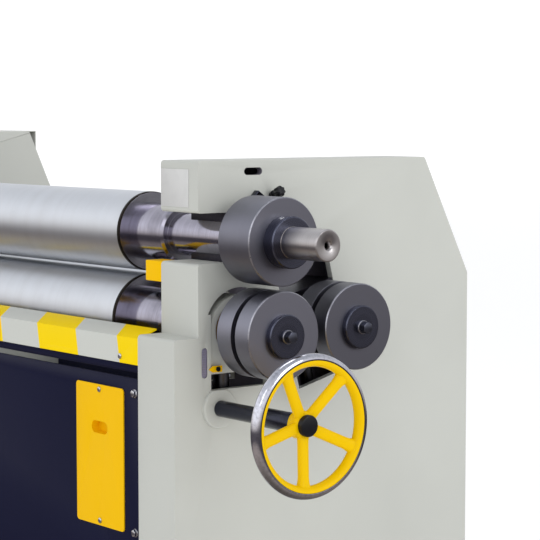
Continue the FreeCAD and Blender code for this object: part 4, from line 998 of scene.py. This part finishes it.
@dataclass(frozen=True)
class TurnSwitch:
    """The rear roll's switch: a round base with a raised bar to grip."""

    x: float = -1727.0
    z: float = 90.0
    stem: tuple = ((-20.0, 0.0), (-20.0, 10.0), (1.0, 10.0))
    base: tuple = ((1.0, 13.4), (1.6, 14.0), (8.0, 14.0), (9.0, 13.0), (9.0, 0.0))
    half: float = 3.2
    tall: float = 12.8
    bar: tuple = (-229.0, -218.0)

    def build(self, palette: "Palette") -> None:
        """Build the base and the bar."""
        line = Line((self.x, BOX_FACE, self.z), FRONT)
        switch = Shape().turn(line, [*self.stem, *self.base], count=64)
        switch.prism(oblong(self.x, self.z, self.half, self.tall), *self.bar, "y")
        switch.build("rear_switch", "grip", Body.SWITCH, Slot.KNOB, [palette.plain[Slot.KNOB]], 0.8)


@dataclass(frozen=True)
class PullCup:
    """The pressed cup behind the access cover's finger slot."""

    x: float = -291.0
    z: float = -407.0
    half: float = 17.0
    radius: float = 13.0
    face: float = -145.0
    depth: float = 16.0
    sheet: float = 1.2
    corners: int = 48

    def outline(self, grow: float) -> list:
        """Give the slot's outline, wider by an amount."""
        points = []
        for number in range(self.corners):
            angle = 2 * math.pi * (number + 0.5) / self.corners
            side = self.half if math.cos(angle) > 0 else -self.half
            reach = self.radius + grow
            points.append((self.x + side + reach * math.cos(angle), self.z + reach * math.sin(angle)))
        return points

    def build(self, palette: "Palette") -> None:
        """Build the thin cup, open to the front."""
        floor = self.face + self.depth
        cup = Shape()
        made = []
        for level, grow in ((self.face, 1.5), (floor, 0.0), (floor - self.sheet, -1.6), (self.face, 0.0)):
            made.append([cup.mesh.verts.new(spot(x, level, z)) for x, z in self.outline(grow)])
        for first, second in ((0, 1), (3, 0), (2, 3)):
            cup.join(made[first], made[second])
        for number in (1, 2):
            cup.mesh.faces.new(made[number])
        finish = [palette.plain[Slot.YELLOW]]
        cup.build("access_cover", "cup", Body.FRAME, Slot.YELLOW, finish, 0.4, stands=False)


@dataclass(frozen=True)
class ScaleStrip:
    """The ruled strip that fills the sight slot to just below the housing's face."""

    y: float = -88.65
    low: float = -270.15
    high: float = -222.85
    radius: float = 6.6
    back: float = -17.0
    step: float = -15.0
    front: float = -2.5
    flange: float = 10.8

    def build(self, palette: "Palette") -> None:
        """Build the strip with its round ends and its wider back."""
        turns = [math.pi * number / 24 for number in range(25)]
        upper = [(self.y + self.radius * math.cos(a), self.high + self.radius * math.sin(a)) for a in turns]
        lower = [(self.y - self.radius * math.cos(a), self.low - self.radius * math.sin(a)) for a in turns]
        strip = Shape().prism(upper + lower, self.step, self.front, "x")
        middle, tall = (self.low + self.high) / 2, (self.high - self.low) / 2 + self.flange
        strip.prism(oblong(self.y, middle, self.flange, tall), self.back, self.step, "x")
        strip.build("scale_strip", "rule", Body.FRAME, Slot.BRIGHT, [palette.special["scale_strip"]], 0.2)


# Boxes whose faces get painted shade: the insides of the housings and the walls of the lifting and sight
# slots.
RIGHT_INSIDE = ((-111.5, -170.0, -780.0), (-14.5, 650.0, 160.0))
LIFTING_SLOT = ((-16.0, 10.0, 126.0), (1.0, 60.0, 143.0))
SIGHT_SLOT = ((-16.0, -96.0, -278.0), (1.0, -81.0, -215.0))
LEFT_INSIDE = ((-1801.5, -170.0, -780.0), (-1650.5, 650.0, 201.0))
PLATES = (
    Plate("right_housing", Slot.BODY, 1.4, dark=(RIGHT_INSIDE, LIFTING_SLOT, SIGHT_SLOT)),
    Plate("left_housing", Slot.BODY, 1.4, dark=(LEFT_INSIDE,)),
    Plate("guard_block", Slot.YELLOW, 2.0),
    Plate("sign_plate", Slot.SIGN, 0.3),
    Plate("stop_lug", Slot.BLACK, 0.8),
    Plate("front_trim", Slot.TRIM, 0.8),
    Plate("front_apron", Slot.NAVY, 0.8),
    Plate("access_cover", Slot.YELLOW, 0.8),
    Plate("drive_cover", Slot.BODY, 1.4),
    Plate("base_rails", Slot.NAVY, 1.2),
    Plate("control_box", Slot.NAVY, 2.5),
    Plate("thickness_pointer", Slot.YELLOW, 0.4, Body.PINCH_SLIDE),
    Plate("top_bearing_shoe", Slot.MILLED, 0.8, Body.SWING),
    Plate("pinch_blocks", Slot.BODY, 0.8, Body.PINCH_SLIDE),
    Plate("rear_blocks", Slot.MILLED, 0.8, Body.REAR_SLIDE),
    Plate("tie_bars", Slot.NAVY, 0.8),
    Plate("rear_cover", Slot.NAVY, 0.8),
    Plate("king_pin", Slot.BLACK, 1.5),
    Plate("handwheel_shaft", Slot.BLACK, 0.8, Body.WHEEL),
)


SMALL_PARTS = (
    Hardware(),
    LockKnob(),
    PushButton("stop_button", Body.STOP, Slot.RED, -1727.0, 20.0, 20.0, 0.8),
    PushButton("forward_button", Body.FORWARD, Slot.GREEN, -1762.0, 145.0, 14.0, 0.6),
    PushButton("reverse_button", Body.REVERSE, Slot.KNOB, -1692.0, 145.0, 14.0, 0.6),
    TurnSwitch(),
    PullCup(),
    ScaleStrip(),
)


class Palette:
    """The finishes of the machine."""

    def __init__(self) -> None:
        """Make the finishes that many pieces share."""
        self.plain = {
            Slot.BODY: Enamel("body_enamel", linear(195, 196, 189), 0.45, specular=0.2).make(),
            Slot.NAVY: Enamel("navy_enamel", linear(22, 24, 50), 0.45, specular=0.08).make(),
            Slot.YELLOW: Enamel("yellow_enamel", linear(244, 190, 0), 0.45, specular=0.06).make(),
            Slot.BLACK: PlainMetal("black_oxide", linear(52, 54, 66), 0.24, 0.8).make(),
            Slot.BRIGHT: PlainMetal("bright_zinc", linear(205, 205, 210), 0.2).make(),
            Slot.MILLED: PlainMetal("milled_steel", linear(120, 121, 126), 0.34).make(),
            Slot.BRONZE: PlainMetal("bronze", linear(176, 138, 84), 0.34).make(),
            Slot.GEAR: PlainMetal("gear_steel", linear(110, 110, 116), 0.3).make(),
            Slot.MOTOR: Enamel("motor_enamel", linear(70, 80, 98), 0.45).make(),
            Slot.SIGN: PlainMetal("sign_metal", linear(216, 216, 214), 0.45, 0.4, 40.0, 1e-6, 0.05).make(),
            Slot.RED: Enamel("red_moulding", linear(196, 24, 20), 0.28, 0.00001).make(),
            Slot.GREEN: Enamel("green_moulding", linear(24, 122, 56), 0.28, 0.00001).make(),
            Slot.KNOB: Enamel("black_moulding", linear(20, 20, 25), 0.35, 0.00002).make(),
            Slot.WHEEL: Enamel("wheel_enamel", linear(234, 190, 0), 0.34, 0.00002, 0.04, 0.06).make(),
            Slot.TRIM: StripedEnamel().make(),
        }
        # A dark steel for the milled blocks and the top bearing shoe, much darker than the milled steel
        # finish.
        self.dark_block_finish = PlainMetal("dark_block_steel", linear(52, 50, 58), 0.4).make()
        # A grey primer put on insides, slot walls and screw sockets as painted shade.
        self.inside = Enamel("painted_shade_primer", linear(112, 108, 118), 0.8, specular=0.1).make()
        self.chrome = PlainMetal("rim_chrome", linear(205, 205, 214), 0.12, grain_depth=0.000004).make()
        # A light finish on chamfers and on a bolt flange's rim, a painted highlight.
        self.chamfer = PlainMetal("painted_chamfer_highlight", linear(170, 170, 178), 0.3).make()
        # Dark finish for the handwheel's seam line and the barrels' end bands, and painted shade at the
        # bottom of the shaft's centre hole.
        self.seam = PlainMetal("rim_seam_and_hole_shade", linear(40, 34, 30), 0.5).make()
        self.bolt = PlainMetal("bolt_black", linear(84, 86, 98), 0.3, 0.9).make()
        self.special = {"scale_strip": RuledSteel().make(), "top_bearing_shoe": self.dark_block_finish}

    @staticmethod
    def lathe(name: str, line: Line, light: Colour, dark: Colour, *values: float) -> bpy.types.Material:
        """Make a lathe finish round a line.

        Args:
            name: The finish's name, which gets the line's place across the frame.
            line: The line.
            light: Its lighter colour.
            dark: Its darker colour.
            values: The further values of a turned steel, in their order.

        Returns:
            The material.
        """
        return TurnedSteel("%s_%d" % (name, round(line.start[1])), light, dark, line.centre(), *values).make()

    def barrel(self, roll: Roll) -> bpy.types.Material:
        """Make a roll's ground, satin finish."""
        light, dark = linear(214, 217, 222), linear(200, 201, 204)
        return self.lathe(roll.node + "_satin", roll.line, light, dark, 0.40, 900.0, 0.000001, 0.2, 0.35)

    def neck(self, line: Line) -> bpy.types.Material:
        """Make a neck's dark, polished finish."""
        light, dark = linear(170, 167, 180), linear(108, 104, 114)
        return self.lathe("neck", line, light, dark, 0.15, 200.0, 0.0000004, 0.5, 0.3)

    def shaft_end(self, line: Line) -> bpy.types.Material:
        """Make the bright, ground finish of a bare shaft end."""
        light, dark = linear(190, 186, 186), linear(154, 150, 149)
        return self.lathe("ground", line, light, dark, 0.3, 500.0, 0.000002, 0.4)

    def section(self, ring: SectionRoll) -> bpy.types.Material:
        """Make a section roll's dull grey finish, darkened by the ring's factor as painted shade."""
        light = tint(linear(150, 150, 162), ring.shade)
        return self.lathe(ring.node + "_grey", ring.line, light, tint(light, 0.85), 0.42, 700.0, 0.000003)

    def washer(self, line: Line) -> bpy.types.Material:
        """Make a blackened, turned finish."""
        return self.lathe("blackened", line, linear(96, 98, 114), linear(70, 72, 84), 0.26, 900.0, 0.000003)

    @staticmethod
    def turned(node: str) -> bpy.types.Material:
        """Make a lathe finish centred on a node's own axis."""
        low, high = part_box(node)
        centre = ((low.y + high.y) / 2, (low.z + high.z) / 2)
        return TurnedSteel(node + "_steel", linear(170, 170, 176), linear(130, 130, 136), centre, 0.3).make()


class Studio:
    """The plain floor, the soft lights and the camera."""

    eye = Vector((4.0713, -2.5826, 1.2003))
    azimuth = math.radians(51.478)
    elevation = math.radians(4.678)
    lens = 127.34
    sensor = 36.0
    reach = 26.0
    wall = 9.0
    facets = 64
    aim = (0.6, -0.2, 0.8)
    sky = [(0.0, (0.14, 0.12, 0.10)), (0.22, (0.38, 0.33, 0.30)), (0.30, (0.32, 0.28, 0.26)),
           (0.345, (0.10, 0.09, 0.10)), (0.43, (0.10, 0.09, 0.10)), (0.475, (0.62, 0.58, 0.56)),
           (0.54, (1.05, 1.04, 1.04)), (0.64, (1.18, 1.20, 1.24)), (0.78, (0.92, 0.94, 0.98)),
           (1.0, (0.56, 0.59, 0.64))]
    sky_level = 0.9
    sky_fall = 0.25

    def build(self) -> None:
        """Set up everything that isn't part of the machine."""
        self.camera()
        self.shell()
        self.lights()
        self.backdrop()

    def camera(self) -> None:
        """Stand the camera where the photograph was taken from."""
        data = bpy.data.cameras.new("camera")
        data.lens = self.lens
        data.sensor_width = self.sensor
        data.clip_end = 100.0
        camera = bpy.data.objects.new("camera", data)
        camera.location = self.eye
        turn = Matrix.Rotation(self.azimuth, 4, "Z") @ Matrix.Rotation(math.pi / 2 - self.elevation, 4, "X")
        camera.rotation_euler = turn.to_euler()
        bpy.context.scene.collection.objects.link(camera)
        bpy.context.scene.camera = camera

    def shell(self) -> None:
        """Stand a white floor and a white wall round the machine."""
        reach, tall = self.reach, self.wall
        shape = bmesh.new()
        turns = [2 * math.pi * number / self.facets for number in range(self.facets)]
        low = [shape.verts.new((reach * math.cos(a), reach * math.sin(a), 0.0)) for a in turns]
        high = [shape.verts.new((reach * math.cos(a), reach * math.sin(a), tall)) for a in turns]
        shape.faces.new(low)
        for number in range(self.facets):
            after = (number + 1) % self.facets
            shape.faces.new((low[number], low[after], high[after], high[number]))
        mesh = bpy.data.meshes.new("studio_shell")
        shape.to_mesh(mesh)
        shape.free()
        paint = Paint("studio_white")
        white = (1.0, 1.0, 1.0)
        paint.set(Base_Color=(0.5, 0.5, 0.5), Roughness=1.0, Emission_Color=white, Emission_Strength=0.6)
        paint.set(Specular_IOR_Level=0.0)
        mesh.materials.append(paint.material)
        shell = bpy.data.objects.new("studio_shell", mesh)
        bpy.context.scene.collection.objects.link(shell)
        shell.visible_glossy = False

    def lamp(self, name: str, place: Point, size: float, watts: float) -> None:
        """Add one soft square light that looks at the machine."""
        data = bpy.data.lights.new(name, "AREA")
        data.size = size
        data.energy = watts
        lamp = bpy.data.objects.new(name, data)
        lamp.location = place
        lamp.rotation_euler = (Vector(self.aim) - Vector(place)).to_track_quat("-Z", "Y").to_euler()
        bpy.context.scene.collection.objects.link(lamp)

    def lights(self) -> None:
        """Hang the soft boxes."""
        self.lamp("key_light", (3.2, -3.8, 3.6), 1.8, 12.0)
        self.lamp("side_light", (4.6, 0.8, 2.6), 1.8, 31.0)
        self.lamp("top_light", (0.0, 0.6, 4.2), 2.0, 22.0)

    @staticmethod
    def set_stops(ramp: bpy.types.ColorRamp, stops: list) -> None:
        """Give a ramp its stops, each a place and a colour."""
        while len(ramp.elements) < len(stops):
            ramp.elements.new(1.0)
        for element, (place, colour) in zip(ramp.elements, stops):
            element.position = place
            element.color = (*colour, 1.0)

    def backdrop(self) -> None:
        """Set a pale sky that has a dark band and grows weaker towards the back."""
        world = bpy.data.worlds.new("studio")
        world.use_nodes = True
        tree = world.node_tree
        where = tree.nodes.new("ShaderNodeTexCoord")
        split = tree.nodes.new("ShaderNodeSeparateXYZ")
        level = tree.nodes.new("ShaderNodeMapRange")
        level.inputs["From Min"].default_value = -1.0
        ramp = tree.nodes.new("ShaderNodeValToRGB")
        self.set_stops(ramp.color_ramp, self.sky)
        tree.links.new(where.outputs["Generated"], split.inputs[0])
        tree.links.new(split.outputs["Z"], level.inputs["Value"])
        tree.links.new(level.outputs["Result"], ramp.inputs["Fac"])
        tree.links.new(ramp.outputs["Color"], tree.nodes["Background"].inputs["Color"])
        dim = tree.nodes.new("ShaderNodeMath")
        dim.operation = "MULTIPLY_ADD"
        dim.inputs[1].default_value = -self.sky_fall
        dim.inputs[2].default_value = self.sky_level
        tree.links.new(split.outputs["Y"], dim.inputs[0])
        tree.links.new(dim.outputs[0], tree.nodes["Background"].inputs["Strength"])
        bpy.context.scene.world = world
        bpy.context.scene.view_settings.view_transform = "Standard"


def dress_frame(palette: Palette) -> None:
    """Give every carried-over node its finish from the record's slots."""
    for entry in frame["record"]["subparts"]:
        node = entry["node"]
        slot = Slot(entry["material_slot"])
        piece = frame["nodes"][node]
        turned = slot in (Slot.ROLL, Slot.SECTION, Slot.JOURNAL)
        shared = palette.special.get(node) or palette.plain.get(slot)
        piece.data.materials.clear()
        piece.data.materials.append(palette.turned(node) if turned else shared)
        log.info("dressed %s", node)


def main() -> None:
    """Build the looks of the whole machine."""
    logging.basicConfig(level=logging.INFO, format="%(message)s")
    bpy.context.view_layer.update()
    palette = Palette()
    dress_frame(palette)
    for piece in (*ROLLS, *SECTION_ROLLS, *ENDS, Collar(), Handwheel(), *PLATES, *SMALL_PARTS):
        piece.build(palette)
    Studio().build()


if __name__ == "__main__":
    main()
